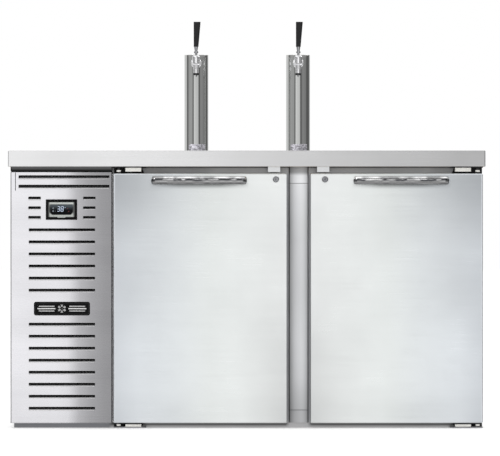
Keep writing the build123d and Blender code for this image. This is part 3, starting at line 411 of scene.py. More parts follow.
def post_painted_shade(s):
    """Painted shade: the mullion cover falls off to both sides and up its height; jointed near its
    ends.
    """
    sides = s.stops(s.along("X", POST_LOW.x, POST_HIGH.x), [
        (0.0, 0.33), (0.09, 0.46), (0.18, 0.61), (0.30, 0.80), (0.45, 0.92), (0.62, 0.99),
        (0.74, 0.92), (0.84, 0.78), (0.92, 0.60), (1.0, 0.50)])
    level = s.stops(s.along("Z", 0.0, 0.8), [
        (0.0, 0.62), (0.068, 0.62), (0.072, 0.66), (0.115, 0.72), (0.2, 0.86), (0.27, 0.91),
        (0.74, 0.90), (0.86, 1.02), (0.955, 1.10), (0.963, 1.20), (1.0, 1.12)])
    # painted shade at the cover's top, times its dark joints near the ends
    shaded = s.along("Z", 0.792, 0.806, (1.0, 0.44), smooth=True)
    for height in (0.0556, 0.7694):
        above = s.along("Z", height + 0.0008, height + 0.0016, (0.5, 1.0))
        below = s.along("Z", height - 0.0008, height - 0.0016, (0.5, 1.0))
        shaded = s.product(shaded, s.calc("MAXIMUM", above, below))
    return s.tinted(s.tinted((0.985, 0.995, 1.01), sides), s.tinted(level, shaded))


def header_painted_shade(s):
    """Painted shade: black beside the grille, and a little lighter up to the worktop."""
    up = s.along("Z", GRILLE_HIGH.z, WORKTOP_LOW.z)
    return s.stops(up, [(0.0, 0.014), (0.22, 0.02), (0.42, 0.06), (0.65, 0.115), (1.0, 0.13)])


def bracket_tone(s):
    """Black enamel, worn to bare metal along the edge that rests near the floor."""
    return s.blend(WHITE, (14.0,) * 3, s.along("Z", 0.0046, 0.0040))


def pull_tone(s):
    """Room reflections that run along a door pull: wavy dark streaks over a grey lower half."""
    sway = s.ranged(s.noise((34.0, 6.0, 6.0), 1.0), USUAL, (-0.07, 0.07))
    height = s.calc("ADD", s.along("Z", PULL_LOW.z, PULL_HIGH.z), sway)
    body = s.stops(height, [
        (0.0, 0.20), (0.10, 0.36), (0.18, 0.52), (0.29, 0.50), (0.36, 0.30), (0.44, 0.23),
        (0.54, 0.34), (0.62, 0.70), (0.76, 1.0), (0.86, 0.64), (1.0, 0.50)])
    streak = s.stops(height, [(0.44, 0.0), (0.50, 1.0), (0.64, 1.0), (0.71, 0.0)])
    patch = s.ranged(s.noise((27.0, 3.0, 3.0), 1.0), (0.44, 0.52))
    glint = s.ranged(s.noise((24.0, 3.0, 3.0), 1.0), (0.38, 0.62), (0.55, 1.45), smooth=True)
    upper = s.ranged(height, (0.56, 0.64), smooth=True)
    body = s.tinted(body, s.blend(WHITE, glint, upper))
    return s.blend(body, (0.07, 0.072, 0.078), s.product(streak, patch))


COLUMN_FALL = [(0.0, 1.0), (0.35, 1.0), (0.45, 0.65), (0.6, 0.55), (0.7, 0.85), (0.85, 0.8),
               (0.95, 1.1), (1.0, 0.7)]


def column_tone(s):
    """Light falls off unevenly to both sides of the bright line along a column's front."""
    left, right = [s.stops(s.along("X", start, start + COLUMN_WIDE), COLUMN_FALL)
                   for start in (COLUMNS_LOW.x, COLUMNS_HIGH.x - COLUMN_WIDE)]
    streaks = s.ranged(s.noise((420.0, 40.0, 1.5), 2.0), USUAL, (0.93, 1.06))
    return s.tinted(s.blend(left, right, s.along("X", -0.001, 0.001)), streaks)


def unit_tone(s):
    """The controller's body lies in the bezel's shade at its sides and around its middle."""
    level = s.stops(s.along("Z", UNIT_LOW.z, UNIT_HIGH.z), [
        (0.0, 0.75), (0.2, 0.7), (0.4, 0.06), (0.65, 0.08), (0.8, 0.25), (0.9, 0.9), (1.0, 0.7)])
    inside = s.within("X", UNIT_LOW.x + 0.0030, UNIT_HIGH.x - 0.0030, 0.0022)
    return s.blend((0.09, 0.09, 0.092), level, inside)


def lens_painted_sheen(s):
    """Dark glass with a painted sheen across its upper third."""
    up = s.along("Z", LENS_LOW.z, LENS_HIGH.z)
    return s.stops(up, [(0.0, 0.05), (0.45, 0.06), (0.66, 0.45), (0.82, 1.0), (1.0, 1.1)])


# ---------------------------------------------------------------- finishes of the pieces
STAINLESS = (0.80, 0.80, 0.805)
# the doors' stainless is painted lighter, standing in for the light on them
LIT_DOOR_STEEL = (0.885, 0.885, 0.885)
LILAC_STEEL = (0.80, 0.795, 0.825)
FINISHES = {
    "worktop_steel": brushed("worktop_steel", STAINLESS, 0.30, streak=0.022, relief=0.035,
                             tone=worktop_painted_falloff),
    "brushed_steel": brushed("brushed_steel", STAINLESS, 0.30),
    "zinc_steel": galvanised("zinc_steel", (0.62, 0.64, 0.66)),
    "core_board": foamed("core_board", (0.60, 0.47, 0.30)),
    "foam": foamed("foam", (0.86, 0.76, 0.50)),
    "liner_sheet": brushed("liner_sheet", (0.78, 0.79, 0.80), 0.38, ALONG_Z, 0.03),
    "badge_black": moulded("badge_black", (0.003, 0.003, 0.0035), 0.3, gloss=0.08),
    "black_plastic": moulded("black_plastic", (0.003, 0.003, 0.0032), 0.42, gloss=0.08),
    "grey_plastic": moulded("grey_plastic", (0.60, 0.63, 0.60), 0.36, variation=0.04,
                            tone=unit_tone),
    "display_glass": moulded("display_glass", (0.066, 0.078, 0.088), 0.12, relief=0.02, gloss=0.04,
                             tone=lens_painted_sheen),
    "key_rubber": moulded("key_rubber", (0.13, 0.15, 0.17), 0.5),
    "black_metal": painted("black_metal", (0.022, 0.022, 0.022), 0.35),
    "steel_pin": cast("steel_pin", (0.62, 0.62, 0.62), 0.28),
    "white_nylon": moulded("white_nylon", (0.80, 0.79, 0.75), 0.4, variation=0.03),
    "zinc_screw": cast("zinc_screw", (0.70, 0.70, 0.68), 0.3),
    "strike_steel": brushed("strike_steel", (0.70, 0.71, 0.72), 0.3),
    "compressor_black": painted("compressor_black", (0.015, 0.015, 0.016), 0.3),
    "gasket_rubber": moulded("gasket_rubber", (0.10, 0.10, 0.105), 0.6),
    "aluminium_fin": cast("aluminium_fin", (0.75, 0.76, 0.77), 0.35),
    "fan_plastic": moulded("fan_plastic", (0.030, 0.032, 0.035), 0.42),
    "copper": cast("copper", (0.72, 0.36, 0.22), 0.25),
    "polished_steel": polished("polished_steel", (0.74, 0.74, 0.725), 0.055),
    "chrome": polished("chrome", (0.80, 0.805, 0.815), 0.06, ripple=6.0),
    "beer_tube": moulded("beer_tube", (0.80, 0.78, 0.70), 0.25, coat=0.5),
    "tap_black": moulded("tap_black", (0.016, 0.016, 0.017), 0.42, 900.0, 0.1, gloss=0.2),
    "door_steel": brushed("door_steel", STAINLESS, 0.34),
}
OWN_FINISH = {
    "grille": brushed("grille_steel", LILAC_STEEL, 0.28, streak=0.022, relief=0.035,
                      tone=grille_painted_reflection),
    "front_frame": brushed("frame_steel", STAINLESS, 0.32, streak=0.03, tone=frame_tone),
    "mullion": brushed("mullion_steel", STAINLESS, 0.32, streak=0.03, tone=frame_tone),
    "base_frame": brushed("base_steel", STAINLESS, 0.34, streak=0.03, tone=base_tone),
    "mullion_cover": brushed("post_steel", STAINLESS, 0.34, ALONG_Z, 0.02, 0.03, post_painted_shade),
    "hinge_brackets": painted("bracket_black", (0.022, 0.022, 0.023), 0.4, bracket_tone),
    "hinge_pins": painted("pin_black", (0.030, 0.030, 0.031), 0.35),
    "bracket_screws": painted("screw_black", (0.020, 0.020, 0.021), 0.35),
    "tower_columns": polished("column_steel", (0.735, 0.745, 0.735), 0.055, tone=column_tone),
    "faucet_bodies": polished("faucet_chrome", (0.93, 0.93, 0.945), 0.17, ripple=5.0),
    "faucet_bonnets": polished("bonnet_chrome", (0.90, 0.90, 0.915), 0.15, ripple=5.0),
}
PAIRED_FINISH = {       # for the left and the right node of a pair
    "tap_lever": polished("lever_chrome", (0.50, 0.505, 0.52), 0.10),
    "door_lock": cast("lock_metal", (0.31, 0.315, 0.33), 0.22),
    "door_handle": polished("pull_chrome", (0.98, 0.98, 0.99), 0.14, tone=pull_tone),
}
for side in ("left", "right"):
    OWN_FINISH[f"door_skin_{side}"] = brushed(f"door_steel_{side}", LIT_DOOR_STEEL, 0.31,
                                              streak=0.010, relief=0.018, tone=door_painted_reflection(side))
    OWN_FINISH.update({f"{node}_{side}": finish for node, finish in PAIRED_FINISH.items()})
ACCENTS = {
    "filter": moulded("filter_mesh_shade", (0.045, 0.045, 0.046), 0.8, 500.0, 0.6, gloss=0.1),
    "louvre": brushed("louvre_steel", (0.42, 0.42, 0.43), 0.4),
    "rim": brushed("rim_steel", (0.78, 0.775, 0.79), 0.3, tone=lip_painted_highlight),
    # chrome darkened into a painted dark reflection on the lock rings
    "lock_ring": polished("lock_chrome_painted_dark", (0.30, 0.305, 0.32), 0.10, ripple=4.0),
    "lock_collar": polished("collar_chrome", (0.95, 0.95, 0.96), 0.38, ripple=2.0),
    "keyhole": moulded("keyhole_shade_black", (0.006, 0.006, 0.007), 0.6, gloss=0.1),
    "spout_mouth_shade": moulded("spout_shade_black", (0.022, 0.022, 0.024), 0.5, gloss=0.2),
    "badge_edge": moulded("badge_rim", (0.045, 0.045, 0.046), 0.35, variation=0.04, gloss=0.2),
    "header": brushed("header_shade_steel", (1.0, 1.0, 1.01), 0.35, streak=0.03, tone=header_painted_shade),
    "mottled_reflection": mottled("mottled_reflection_steel", (0.66, 0.645, 0.70)),
    "digit": glowing("digit_light", (0.48, 0.56, 0.70), 0.35),
    "ember": glowing("alarm_light", (0.16, 0.02, 0.03), 0.12),
    "badge_line": moulded("badge_print", (0.72, 0.72, 0.72), 0.3, variation=0.04),
    "key_mark": moulded("key_print", (0.55, 0.62, 0.70), 0.4),
}


def dress_cad():
    """Give every CAD node the finish of its slot, or its own."""
    for node, part in NODES.items():
        finish = OWN_FINISH.get(node) or FINISHES[SLOT_OF[node]]
        if not part.data.materials:
            part.data.materials.append(finish)
        for holder in part.material_slots:
            holder.material = finish


dress_cad()


# ---------------------------------------------------------------- mesh tools
def piece(name, mesh, finish, body="cabinet", smooth=True):
    """Turn a bmesh into an object that rides on a body."""
    bmesh.ops.remove_doubles(mesh, verts=mesh.verts, dist=1e-6)
    bmesh.ops.recalc_face_normals(mesh, faces=mesh.faces)
    data = bpy.data.meshes.new(name)
    mesh.to_mesh(data)
    mesh.free()
    for face in data.polygons:
        face.use_smooth = smooth
    thing = bpy.data.objects.new(name, data)
    bpy.context.scene.collection.objects.link(thing)
    data.materials.append(finish)
    if smooth:
        split_sharp(data)
    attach(thing, body)
    return thing


def split_sharp(data, limit=math.radians(38)):
    """Mark the edges that are too sharp to be shaded smooth."""
    work = bmesh.new()
    work.from_mesh(data)
    for edge in work.edges:
        edge.smooth = len(edge.link_faces) == 2 and edge.calc_face_angle(0.0) < limit
    work.to_mesh(data)
    work.free()


def loop_strip(mesh, rings, wrap=False):
    """Quads between closed rings of points that have the same count."""
    made = [[mesh.verts.new(point) for point in ring] for ring in rings]
    count = len(made[0])
    pairs = list(zip(made, made[1:])) + ([(made[-1], made[0])] if wrap else [])
    for first, second in pairs:
        for index in range(count):
            after = (index + 1) % count
            mesh.faces.new((first[index], first[after], second[after], second[index]))
    return made


def rounded_outline(half_x, half_z, radius, steps=8):
    """Points and outward normals around a rounded rectangle in the XZ plane."""
    outline = []
    for quarter, (sx, sz) in enumerate(((1, 1), (-1, 1), (-1, -1), (1, -1))):
        for step in range(steps + 1):
            angle = math.pi / 2 * (quarter + step / steps)
            nx, nz = math.cos(angle), math.sin(angle)
            outline.append((sx * (half_x - radius) + nx * radius,
                            sz * (half_z - radius) + nz * radius, nx, nz))
    return outline


def rim(mesh, centre, outline, profile):
    """Sweep (outward, forward) profile points around an outline in the XZ plane."""
    loop_strip(mesh, [[Vector((centre[0] + x + nx * out, centre[1] - ahead,
                               centre[2] + z + nz * out)) for x, z, nx, nz in outline]
                      for out, ahead in profile])


def arc_profile(low, high, height, steps=6):
    """A low dome between two outward offsets."""
    middle, half = (low + high) / 2, (high - low) / 2
    return [(middle - half * math.cos(math.pi * k / steps), height * math.sin(math.pi * k / steps))
            for k in range(steps + 1)]


def cap(mesh, made):
    """Close both ends of a strip that loop_strip made."""
    mesh.faces.new(made[0])
    mesh.faces.new(list(reversed(made[-1])))


def circle(centre, side, other, radius, count):
    """Points around a circle, given two directions in its plane."""
    turns = [math.tau * step / count for step in range(count)]
    return [centre + (side * math.cos(turn) + other * math.sin(turn)) * radius for turn in turns]


def prism(mesh, points, front, back, bevel=0.0):
    """A flat shape in the XZ plane, with a chamfered front edge."""
    centre = sum((Vector(p) for p in points), Vector((0, 0))) / len(points)
    inner = [centre + (Vector(p) - centre) * (1 - bevel) for p in points]
    depth = bevel * (Vector(points[0]) - centre).length
    shoulder = front + min(depth, (back - front) / 2)
    rings = [[Vector((p[0], y, p[1])) for p in outline]
             for y, outline in ((back, points), (shoulder, points), (front, inner))]
    cap(mesh, loop_strip(mesh, rings))


def lathe(mesh, centre, direction, profile, segments=40):
    """Turn (radius, distance along the axis) points about an axis."""
    axis = Vector(direction).normalized()
    side = axis.orthogonal().normalized()
    rings = [circle(Vector(centre) + axis * distance, side, axis.cross(side), max(radius, 1e-5),
                    segments) for radius, distance in profile]
    cap(mesh, loop_strip(mesh, rings))


def pan_screw(mesh, centre, direction, radius=0.0045):
    """Pan head with a round socket, standing on a panel."""
    tall = radius * 0.55
    lathe(mesh, centre, direction, [
        (radius * 0.9, 0.0), (radius, tall * 0.25), (radius * 0.93, tall * 0.7),
        (radius * 0.7, tall * 0.97), (radius * 0.42, tall), (radius * 0.36, tall * 0.92),
        (radius * 0.30, tall * 0.35), (0.0, tall * 0.30)], 24)


def bar_wire(mesh, points, radius, segments=8):
    """A round wire along points, closed if its ends meet."""
    closed = (Vector(points[0]) - Vector(points[-1])).length < 1e-6
    line = [Vector(p) for p in (points[:-1] if closed else points)]
    rings = []
    for index, point in enumerate(line):
        before = line[index - 1] if closed or index else point
        after = line[(index + 1) % len(line)] if closed or index < len(line) - 1 else point
        axis = (after - before).normalized()
        side = axis.cross(Vector((1, 0, 0)))
        side = side.normalized() if side.length > 0.1 else axis.orthogonal().normalized()
        rings.append(circle(point, side, axis.cross(side), radius, segments))
    made = loop_strip(mesh, rings, wrap=closed)
    if not closed:
        cap(mesh, made)


# ---------------------------------------------------------------- grille
SIDE_STEPS = (-1, -0.5, 0, 0.5, 1)      # cuts along a slot's length, in halves of it
LIP_SECTION = ((0.0003, 0.0001), (-0.0002, 0.0004), (-0.0010, 0.0024), (-0.0009, 0.0029),
               (0.0003, 0.0031))        # depth behind the grille's face, drop below the slot


def make_slot_rims():
    """A fine bead around each slot of the grille and a folded lip along its lower edge."""
    mesh = bmesh.new()
    for x, z, half, tall in SLITS:
        outline = rounded_outline(half, tall, SLOT_CORNER, 5)
        rim(mesh, (x, GRILLE_LOW.y, z), outline, arc_profile(-0.0002, 0.0007, 0.0002, 4))
        reach, end = half - 0.0012, half - 0.0004
        rings = []
        for offset in (-end, *(step * reach for step in SIDE_STEPS), end):
            shallow = 0.0001 if abs(offset) == end else -1.0
            rings.append([Vector((x + offset, GRILLE_LOW.y + max(y, shallow), z - tall - drop))
                          for y, drop in LIP_SECTION])
        cap(mesh, loop_strip(mesh, rings))
    piece("grille_slot_lips", mesh, ACCENTS["rim"])


def make_louvres():
    """A blade that leans back and up from the lower edge of each slot."""
    mesh = bmesh.new()
    front, back = GRILLE_LOW.y + 0.0013, GRILLE_LOW.y + 0.0065
    for x, z, half, tall in SLITS:
        reach = half - 0.0006
        low, high = z - tall - 0.0004, z - tall * 0.05
        section = [(front, low), (back, high), (back, high + 0.0008), (front, low + 0.0011)]
        cap(mesh, loop_strip(mesh, [[Vector((x + step * reach, y, height)) for y, height in section]
                                    for step in SIDE_STEPS]))
    piece("grille_louvres", mesh, ACCENTS["louvre"], smooth=False)


def make_filter():
    """Pleated dust filter behind the slots, in pads around the controller's housing."""
    mesh = bmesh.new()
    pleat, depth, thick = 0.006, 0.008, 0.0015
    front = GRILLE_LOW.y + 0.009
    margin = Vector((0.008,) * 3)
    left, right = GRILLE_LOW.x + margin.x, GRILLE_HIGH.x - margin.x
    low, high = GRILLE_LOW.z + 0.012, GRILLE_HIGH.z - 0.006
    box_low, box_high = UNIT_LOW - margin, UNIT_HIGH + margin
    pads = [(left, right, low, box_low.z), (left, right, box_high.z, high),
            (left, box_low.x, box_low.z, box_high.z), (box_high.x, right, box_low.z, box_high.z)]
    for x0, x1, z0, z1 in pads:
        count = int((x1 - x0) / pleat)
        ahead = [(x0 + (x1 - x0) * index / count, front + depth * (index % 2))
                 for index in range(count + 1)]
        section = ahead + [(x, y + thick) for x, y in reversed(ahead)]
        for ring in loop_strip(mesh, [[Vector((x, y, z)) for x, y in section] for z in (z0, z1)]):
            for index in range(count):
                other = len(section) - 1 - index
                mesh.faces.new((ring[index], ring[index + 1], ring[other - 1], ring[other]))
    # the filter's near-black also stands in for the shade behind the slots
    piece("dust_filter", mesh, ACCENTS["filter"], smooth=False)


def make_header():
    """Rail in painted shade that closes the joint between grille and worktop, bevelled at its outer
    end.
    """
    mesh = bmesh.new()
    top, bottom = WORKTOP_LOW.z - 0.0004, GRILLE_HIGH.z + 0.0006
    front, back = GRILLE_LOW.y - 0.0005, GRILLE_HIGH.y - 0.0150
    left, right = GRILLE_LOW.x, GRILLE_HIGH.x
    profile = [(front, top), (front, bottom + 0.0055), (front + 0.002, bottom + 0.0012),
               (front + 0.004, bottom), (back, bottom), (back, top)]
    rings = []
    for x, lean in ((left, 0.004), (left + 0.004, 0.0), (right - 0.001, 0.0), (right, 0.001)):
        rings.append([Vector((x, y + lean * (y < back), z + lean * 0.5 * (z < top)))
                      for y, z in profile])
    cap(mesh, loop_strip(mesh, rings))
    # the rail and its painted shade stand in for the shaded recess under the worktop
    piece("header_shade_rail", mesh, ACCENTS["header"])


# ---------------------------------------------------------------- badge and display
def turned(points, centre, angle):
    """Points in the XZ plane, turned about the origin and moved to a centre."""
    c, s = math.cos(angle), math.sin(angle)
    return [(centre[0] + x * c - z * s, centre[1] + x * s + z * c) for x, z in points]


ARM = [(0.0007, 0.0), (0.0128, -0.0007), (0.0136, 0.0), (0.0128, 0.0007)]
TWIG = [(0.0, -0.0006), (0.0042, -0.0005), (0.0046, 0.0), (0.0042, 0.0005), (0.0, 0.0006)]
TWIG_ROOTS = (0.0062, 0.0098)
PINSTRIPES = [      # near and far end from the middle, height, half the thickness
    (0.024, 0.072, -0.0075, 0.0011), (0.021, 0.076, 0.0, 0.0018), (0.024, 0.072, 0.0075, 0.0011),
]


def make_badge_emblem():
    """A plain snowflake between pinstripes, inside a thin raised border."""
    centre = (BADGE_LOW + BADGE_HIGH) / 2
    middle = (centre.x, centre.z)
    front, back = BADGE_LOW.y - 0.0003, BADGE_LOW.y + 0.0002
    mesh = bmesh.new()
    half = (BADGE_HIGH - BADGE_LOW) / 2
    outline = rounded_outline(half.x - 0.0035, half.z - 0.0035, 0.0045)
    rim(mesh, (centre.x, back, centre.z), outline, arc_profile(-0.0009, 0.0, 0.0006, 4))
    piece("badge_border", mesh, ACCENTS["badge_edge"])
    mesh = bmesh.new()
    for turn in range(6):
        angle = math.pi / 3 * turn + math.pi / 6
        prism(mesh, turned(ARM, middle, angle), front, back, 0.1)
        for reach in TWIG_ROOTS:
            root = (middle[0] + reach * math.cos(angle), middle[1] + reach * math.sin(angle))
            for side in (-1, 1):
                twig = turned(TWIG, root, angle + side * math.pi / 3.3)
                prism(mesh, twig, front, back, 0.1)
    for side in (-1, 1):
        for near, far, up, thick in PINSTRIPES:
            height = middle[1] + up
            start, end = sorted((middle[0] + side * near, middle[0] + side * far))
            line = [(start, height - thick), (end, height - thick), (end + 0.001, height),
                    (end, height + thick), (start, height + thick), (start - 0.001, height)]
            prism(mesh, line, front, back, 0.03)
    piece("badge_emblem", mesh, ACCENTS["badge_line"], smooth=False)


SEGMENTS = {"3": "abcdg", "8": "abcdefg"}
DIGIT_WIDE, DIGIT_TALL, DIGIT_BAR = 0.0088, 0.0168, 0.0017


def segment_points(letter):
    """The hexagon of one segment of a seven-segment digit, before it is slanted."""
    wide, tall, bar = DIGIT_WIDE, DIGIT_TALL, DIGIT_BAR
    gap = 0.0003
    flat = {"a": tall / 2 - bar / 2, "g": 0.0, "d": bar / 2 - tall / 2}
    if letter in flat:
        z, half = flat[letter], wide / 2 - bar / 2 - gap
        return [(-half, z), (-half + bar / 2, z + bar / 2), (half - bar / 2, z + bar / 2),
                (half, z), (half - bar / 2, z - bar / 2), (-half + bar / 2, z - bar / 2)]
    x = (wide / 2 - bar / 2) * (1 if letter in "bc" else -1)
    low, high = (0.0, tall / 2 - bar / 2) if letter in "bf" else (bar / 2 - tall / 2, 0.0)
    low, high = low + gap, high - gap
    return [(x, low), (x - bar / 2, low + bar / 2), (x - bar / 2, high - bar / 2),
            (x, high), (x + bar / 2, high - bar / 2), (x + bar / 2, low + bar / 2)]


DIGIT_START, DIGIT_STEP, DIGIT_RISE = -0.0089, 0.0112, 0.0019     # from the middle of the lens
DIGIT_SLANT = 0.10
DOTS = ((0.0115, 0.0062, 0.0011), (-0.0195, -0.0045, 0.0007))     # x, z and radius
LAMP = [(-0.0022, -0.0007), (0.0022, -0.0007), (0.0026, 0.0), (0.0022, 0.0007),
        (-0.0022, 0.0007)]
LAMP_PLACES = ((0.0190, 0.0035), (0.0225, -0.0060))


def make_display():
    """Two lit digits and small lamps on the controller's lens."""
    front, back = LENS_LOW.y - 0.00015, LENS_LOW.y + 0.0002
    lens = (LENS_LOW + LENS_HIGH) / 2
    mesh = bmesh.new()
    for index, digit in enumerate("38"):
        x, z = lens.x + DIGIT_START + DIGIT_STEP * index, lens.z + DIGIT_RISE
        for letter in SEGMENTS[digit]:
            slanted = [(x + px + pz * DIGIT_SLANT, z + pz) for px, pz in segment_points(letter)]
            prism(mesh, slanted, front, back, 0.02)
    for x, z, size in DOTS:
        dot = [(size * math.cos(k * math.pi / 8), size * math.sin(k * math.pi / 8))
               for k in range(16)]
        prism(mesh, turned(dot, (lens.x + x, lens.z + z), 0.0), front, back, 0.05)
    piece("display_digits", mesh, ACCENTS["digit"], smooth=False)
    mesh = bmesh.new()
    for x, z in LAMP_PLACES:
        prism(mesh, turned(LAMP, (lens.x + x, lens.z + z), 0.5), front, back, 0.05)
    piece("display_lamps", mesh, ACCENTS["ember"], smooth=False)


def make_key_marks():
    """A small printed triangle on each controller key."""
    for name, point in (("key_up", 1), ("key_down", -1)):
        low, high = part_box(name)
        middle = ((low.x + high.x) / 2, (low.z + high.z) / 2)
        mark = [(-0.0013, -0.0009 * point), (0.0, 0.0013 * point), (0.0013, -0.0009 * point)]
        mesh = bmesh.new()
        prism(mesh, turned(mark, middle, 0.0), low.y - 0.0001, low.y + 0.0002, 0.05)
        piece(f"{name}_mark", mesh, ACCENTS["key_mark"], name, smooth=False)


# ---------------------------------------------------------------- locks, towers, screws
def make_lock_faces():
    """Chrome collar, stepped ring in painted reflection, painted-shade keyhole, on each lock
    barrel's face.
    """
    for side in ("left", "right"):
        low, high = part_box(f"door_lock_{side}")
        body = f"lock_{side}"
        x, z = high.x - LOCK_RADIUS, (low.z + high.z) / 2
        mesh = bmesh.new()
        outline = rounded_outline(LOCK_RADIUS, LOCK_RADIUS, LOCK_RADIUS - 0.00001, 12)
        rim(mesh, (x, low.y + 0.0012, z), outline, arc_profile(-0.0004, 0.0011, 0.0013))
        piece(f"lock_collar_{side}", mesh, ACCENTS["lock_collar"], body)
        mesh = bmesh.new()
        # keyhole: a black plate standing in for the shade inside the key slot
        slit = [(-0.0011, -0.0034), (0.0011, -0.0034), (0.0011, 0.0034), (-0.0011, 0.0034)]
        prism(mesh, turned(slit, (x, z), 0.0), low.y - 0.00015, low.y + 0.0003, 0.05)
        piece(f"lock_keyhole_shade_{side}", mesh, ACCENTS["keyhole"], body, smooth=False)
        mesh = bmesh.new()
        # stepped ring, in chrome painted dark as a reflection
        outline = rounded_outline(0.0074, 0.0074, 0.00739, 12)
        rim(mesh, (x, low.y, z), outline, arc_profile(-0.0012, 0.0012, 0.0009))
        piece(f"lock_ring_{side}", mesh, ACCENTS["lock_ring"], body)


FOOT_TALL, FOOT_THICK, FOOT_THIN = 0.0243, 0.0007, 0.0001
FOOT_FIRST, FOOT_LAST, FOOT_STEPS = -38.0, 47.0, 28       # degrees from straight ahead


def make_foot_plates():
    """A thin curved plate around the front of each column's foot, with a painted reflection on it.
    """
    radius = COLUMN_WIDE / 2
    middle_y = (COLUMNS_LOW.y + COLUMNS_HIGH.y) / 2
    mesh = bmesh.new()
    for x in (COLUMNS_LOW.x + radius, COLUMNS_HIGH.x - radius):
        rings = []
        for step in range(-1, FOOT_STEPS + 2):
            share = min(max(step, 0), FOOT_STEPS) / FOOT_STEPS
            turn = math.radians(FOOT_FIRST + (FOOT_LAST - FOOT_FIRST) * share)
            thick = FOOT_THIN if step in (-1, FOOT_STEPS + 1) else FOOT_THICK
            section = [(-0.0003, 0.0002), (thick * 0.6, 0.0002), (thick, 0.0008),
                       (thick, FOOT_TALL - 0.0006), (thick * 0.6, FOOT_TALL), (-0.0003, FOOT_TALL)]
            rings.append([Vector((x + (radius + out) * math.sin(turn),
                                  middle_y - (radius + out) * math.cos(turn), WORKTOP_HIGH.z + up))
                          for out, up in section])
        cap(mesh, loop_strip(mesh, rings))
    piece("tower_foot_plates", mesh, ACCENTS["mottled_reflection"])


def make_spout_mouth_shades():
    """A thin black sleeve around the mouth of each spout, painted shade for the dark of its
    opening.
    """
    points = [vertex.co for vertex in NODES["faucet_bodies"].data.vertices]
    mouth = min(point.z for point in points)
    mesh = bmesh.new()
    for side in (-1, 1):
        ring = [point for point in points if point.z < mouth + 0.0004 and point.x * side > 0]
        xs, ys = [point.x for point in ring], [point.y for point in ring]
        x, y, radius = (min(xs) + max(xs)) / 2, (min(ys) + max(ys)) / 2, (max(xs) - min(xs)) / 2
        profile = [(-0.0002, 0.0004), (0.0005, 0.0004), (0.0008, 0.0010), (0.0008, 0.0062),
                   (0.0004, 0.0070), (-0.0002, 0.0070)]
        rings = [[Vector((x + (radius + out) * math.cos(math.tau * step / 40),
                          y + (radius + out) * math.sin(math.tau * step / 40), mouth + up))
                  for out, up in profile] for step in range(40)]
        loop_strip(mesh, rings, wrap=True)
    piece("spout_mouth_shades", mesh, ACCENTS["spout_mouth_shade"])


def make_rear_screws():
    """Screws along the edges of the rear panel."""
    mesh = bmesh.new()
    left, right = REAR_LOW.x + 0.02, REAR_HIGH.x - 0.02
    across = [(left + (right - left) * row / 7, z) for row in range(8)
              for z in (REAR_LOW.z + 0.018, REAR_HIGH.z - 0.018)]
    upright = [(x, REAR_LOW.z + (REAR_HIGH.z - REAR_LOW.z) * row / 4) for row in (1, 2, 3)
               for x in (left, right)]
    for x, z in across + upright:
        pan_screw(mesh, (x, REAR_HIGH.y, z), (0, 1, 0))
    piece("rear_screws", mesh, FINISHES["zinc_screw"])


def make_fan_guard():
    """Wire guard over the evaporator fan's opening."""
    mesh = bmesh.new()
    x, (y, z) = FAN_COVER_FRONT + 0.0016, FAN_GUARD_CENTRE
    for radius in (0.014, 0.026, 0.038, 0.050, 0.062, 0.071):
        turns = [math.tau * k / 72 for k in range(73)]
        ring = [(x, y + radius * math.cos(turn), z + radius * math.sin(turn)) for turn in turns]
        bar_wire(mesh, ring, 0.0011)
    for quarter in range(4):
        turn = math.pi / 4 + math.pi / 2 * quarter
        bar_wire(mesh, [(x + 0.0018, y + radius * math.cos(turn), z + radius * math.sin(turn))
                        for radius in (0.010, 0.040, 0.076)], 0.0014)
    piece("fan_guard", mesh, FINISHES["chrome"])


make_slot_rims()
make_louvres()
make_filter()
make_header()
make_badge_emblem()
make_display()
make_key_marks()
make_lock_faces()
make_foot_plates()
make_spout_mouth_shades()
make_rear_screws()
make_fan_guard()


# ---------------------------------------------------------------- studio
FRONT_BRIGHT = 1.12
HORIZON = [             # azimuth in degrees from straight ahead of the front, and radiance
    (-180, 0.72), (-112, 0.72), (-100, 0.16), (-88, 0.14), (-78, 0.42), (-44, 0.40), (-34, 0.20),
    (-27, 0.22), (-20, FRONT_BRIGHT), (18, FRONT_BRIGHT), (24, 0.18), (30, 0.18), (38, 0.36),
    (80, 0.30), (94, 0.13), (134, 0.13), (146, 0.72), (180, 0.72),
]
SKY = [                 # height of the direction's tip, from -1 to 1, and radiance in front
    (-1.0, 0.60), (-0.70, 0.52), (-0.42, 0.44), (-0.34, 0.60), (0.30, 0.60), (0.36, 0.10),
    (0.52, 0.10), (0.58, 0.80), (0.80, 1.20), (1.0, 1.30),
]
BACK_SKY = 0.95
FLOOR_RADIUS, FLOOR_SIDES, FLOOR_DROP = 60, 96, 0.0006


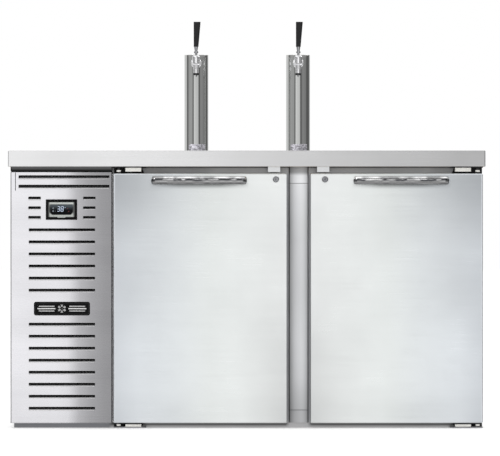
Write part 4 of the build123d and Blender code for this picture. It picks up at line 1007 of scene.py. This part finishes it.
def make_world():
    """White surroundings with a few dark cards near the horizon, as in a product studio."""
    world = bpy.data.worlds.new("studio")
    bpy.context.scene.world = world
    world.use_nodes = True
    world.node_tree.nodes.clear()
    w = Tree(world.node_tree)
    direction = w.add("ShaderNodeTexCoord").outputs["Generated"]
    x, y, z = w.add("ShaderNodeSeparateXYZ", {0: direction}).outputs
    azimuth = w.ranged(w.calc("ARCTAN2", x, w.calc("MULTIPLY", y, -1.0)), (-math.pi, math.pi))
    horizon = w.stops(azimuth, [((turn + 180) / 360, level) for turn, level in HORIZON])
    sky = w.stops(w.ranged(z, (-1.0, 1.0)), [((tip + 1) / 2, level) for tip, level in SKY])
    sky = w.blend(sky, (BACK_SKY,) * 3, w.ranged(y, (-0.15, 0.10), smooth=True))
    above = w.ranged(z, (0.27, 0.34), smooth=True)
    below = w.ranged(z, (-0.27, -0.36), smooth=True)
    pattern = w.blend(horizon, sky, w.calc("MAXIMUM", above, below))
    surroundings = w.add("ShaderNodeBackground", {"Color": pattern}).outputs[0]
    white = w.add("ShaderNodeBackground", {"Color": (*WHITE, 1.0)}).outputs[0]
    seen = w.add("ShaderNodeLightPath").outputs["Is Camera Ray"]
    shown = w.add("ShaderNodeMixShader", {0: seen, 1: surroundings, 2: white}).outputs[0]
    w.add("ShaderNodeOutputWorld", {"Surface": shown})


def make_floor():
    """A wide round pale floor."""
    mesh = bmesh.new()
    ring = circle(Vector((0, 0, -FLOOR_DROP)), Vector((1, 0, 0)), Vector((0, 1, 0)), FLOOR_RADIUS,
                  FLOOR_SIDES)
    mesh.faces.new([mesh.verts.new(point) for point in ring])
    data = bpy.data.meshes.new("floor")
    mesh.to_mesh(data)
    mesh.free()
    floor = bpy.data.objects.new("floor", data)
    bpy.context.scene.collection.objects.link(floor)
    s = Shader("floor_white")
    cloud = s.noise((1.5,) * 3, 3.0)
    shade = s.tinted((0.93, 0.93, 0.93), s.ranged(cloud, USUAL, (0.99, 1.01)))
    data.materials.append(s.finish(Base_Color=shade, Roughness=0.85, Specular_IOR_Level=0.1,
                                   Emission_Color=shade, Emission_Strength=0.35))
    floor.visible_glossy = False


LIGHTS = [              # name, place, aim, width and height in metres, watts
    ("key", (-2.6, -3.4, 2.6), (0.0, 0.0, 0.6), (1.6, 1.6), 30),
    ("rim", (2.4, 1.2, 2.4), (0.0, 0.0, 0.9), (1.0, 1.6), 12),
]


def make_light(name, place, aim, size, power):
    """A soft rectangular lamp that the camera doesn't see."""
    data = bpy.data.lights.new(name, "AREA")
    data.shape = "RECTANGLE"
    data.size, data.size_y = size
    data.energy = power
    lamp = bpy.data.objects.new(name, data)
    bpy.context.scene.collection.objects.link(lamp)
    lamp.location = place
    lamp.rotation_euler = (Vector(aim) - Vector(place)).to_track_quat("-Z", "Y").to_euler()
    lamp.visible_camera = False


make_world()
make_floor()
for light in LIGHTS:
    make_light(*light)

# ---------------------------------------------------------------- camera
CAMERA_DISTANCE = 16.0
VIEW_WIDTH = 1.5695     # metres across the frame in the plane of the worktop's front
VIEW_MIDDLE = (0.0104, 0.6287)          # x and z
SENSOR = 36.0

camera_data = bpy.data.cameras.new("camera")
camera_data.sensor_width = SENSOR
camera_data.lens = SENSOR * CAMERA_DISTANCE / VIEW_WIDTH
camera_data.clip_end = 200.0
camera = bpy.data.objects.new("camera", camera_data)
bpy.context.scene.collection.objects.link(camera)
camera.location = (VIEW_MIDDLE[0], WORKTOP_LOW.y - CAMERA_DISTANCE, VIEW_MIDDLE[1])
camera.rotation_euler = (math.pi / 2, 0.0, 0.0)
bpy.context.scene.camera = camera
bpy.context.scene.view_settings.view_transform = "Standard"
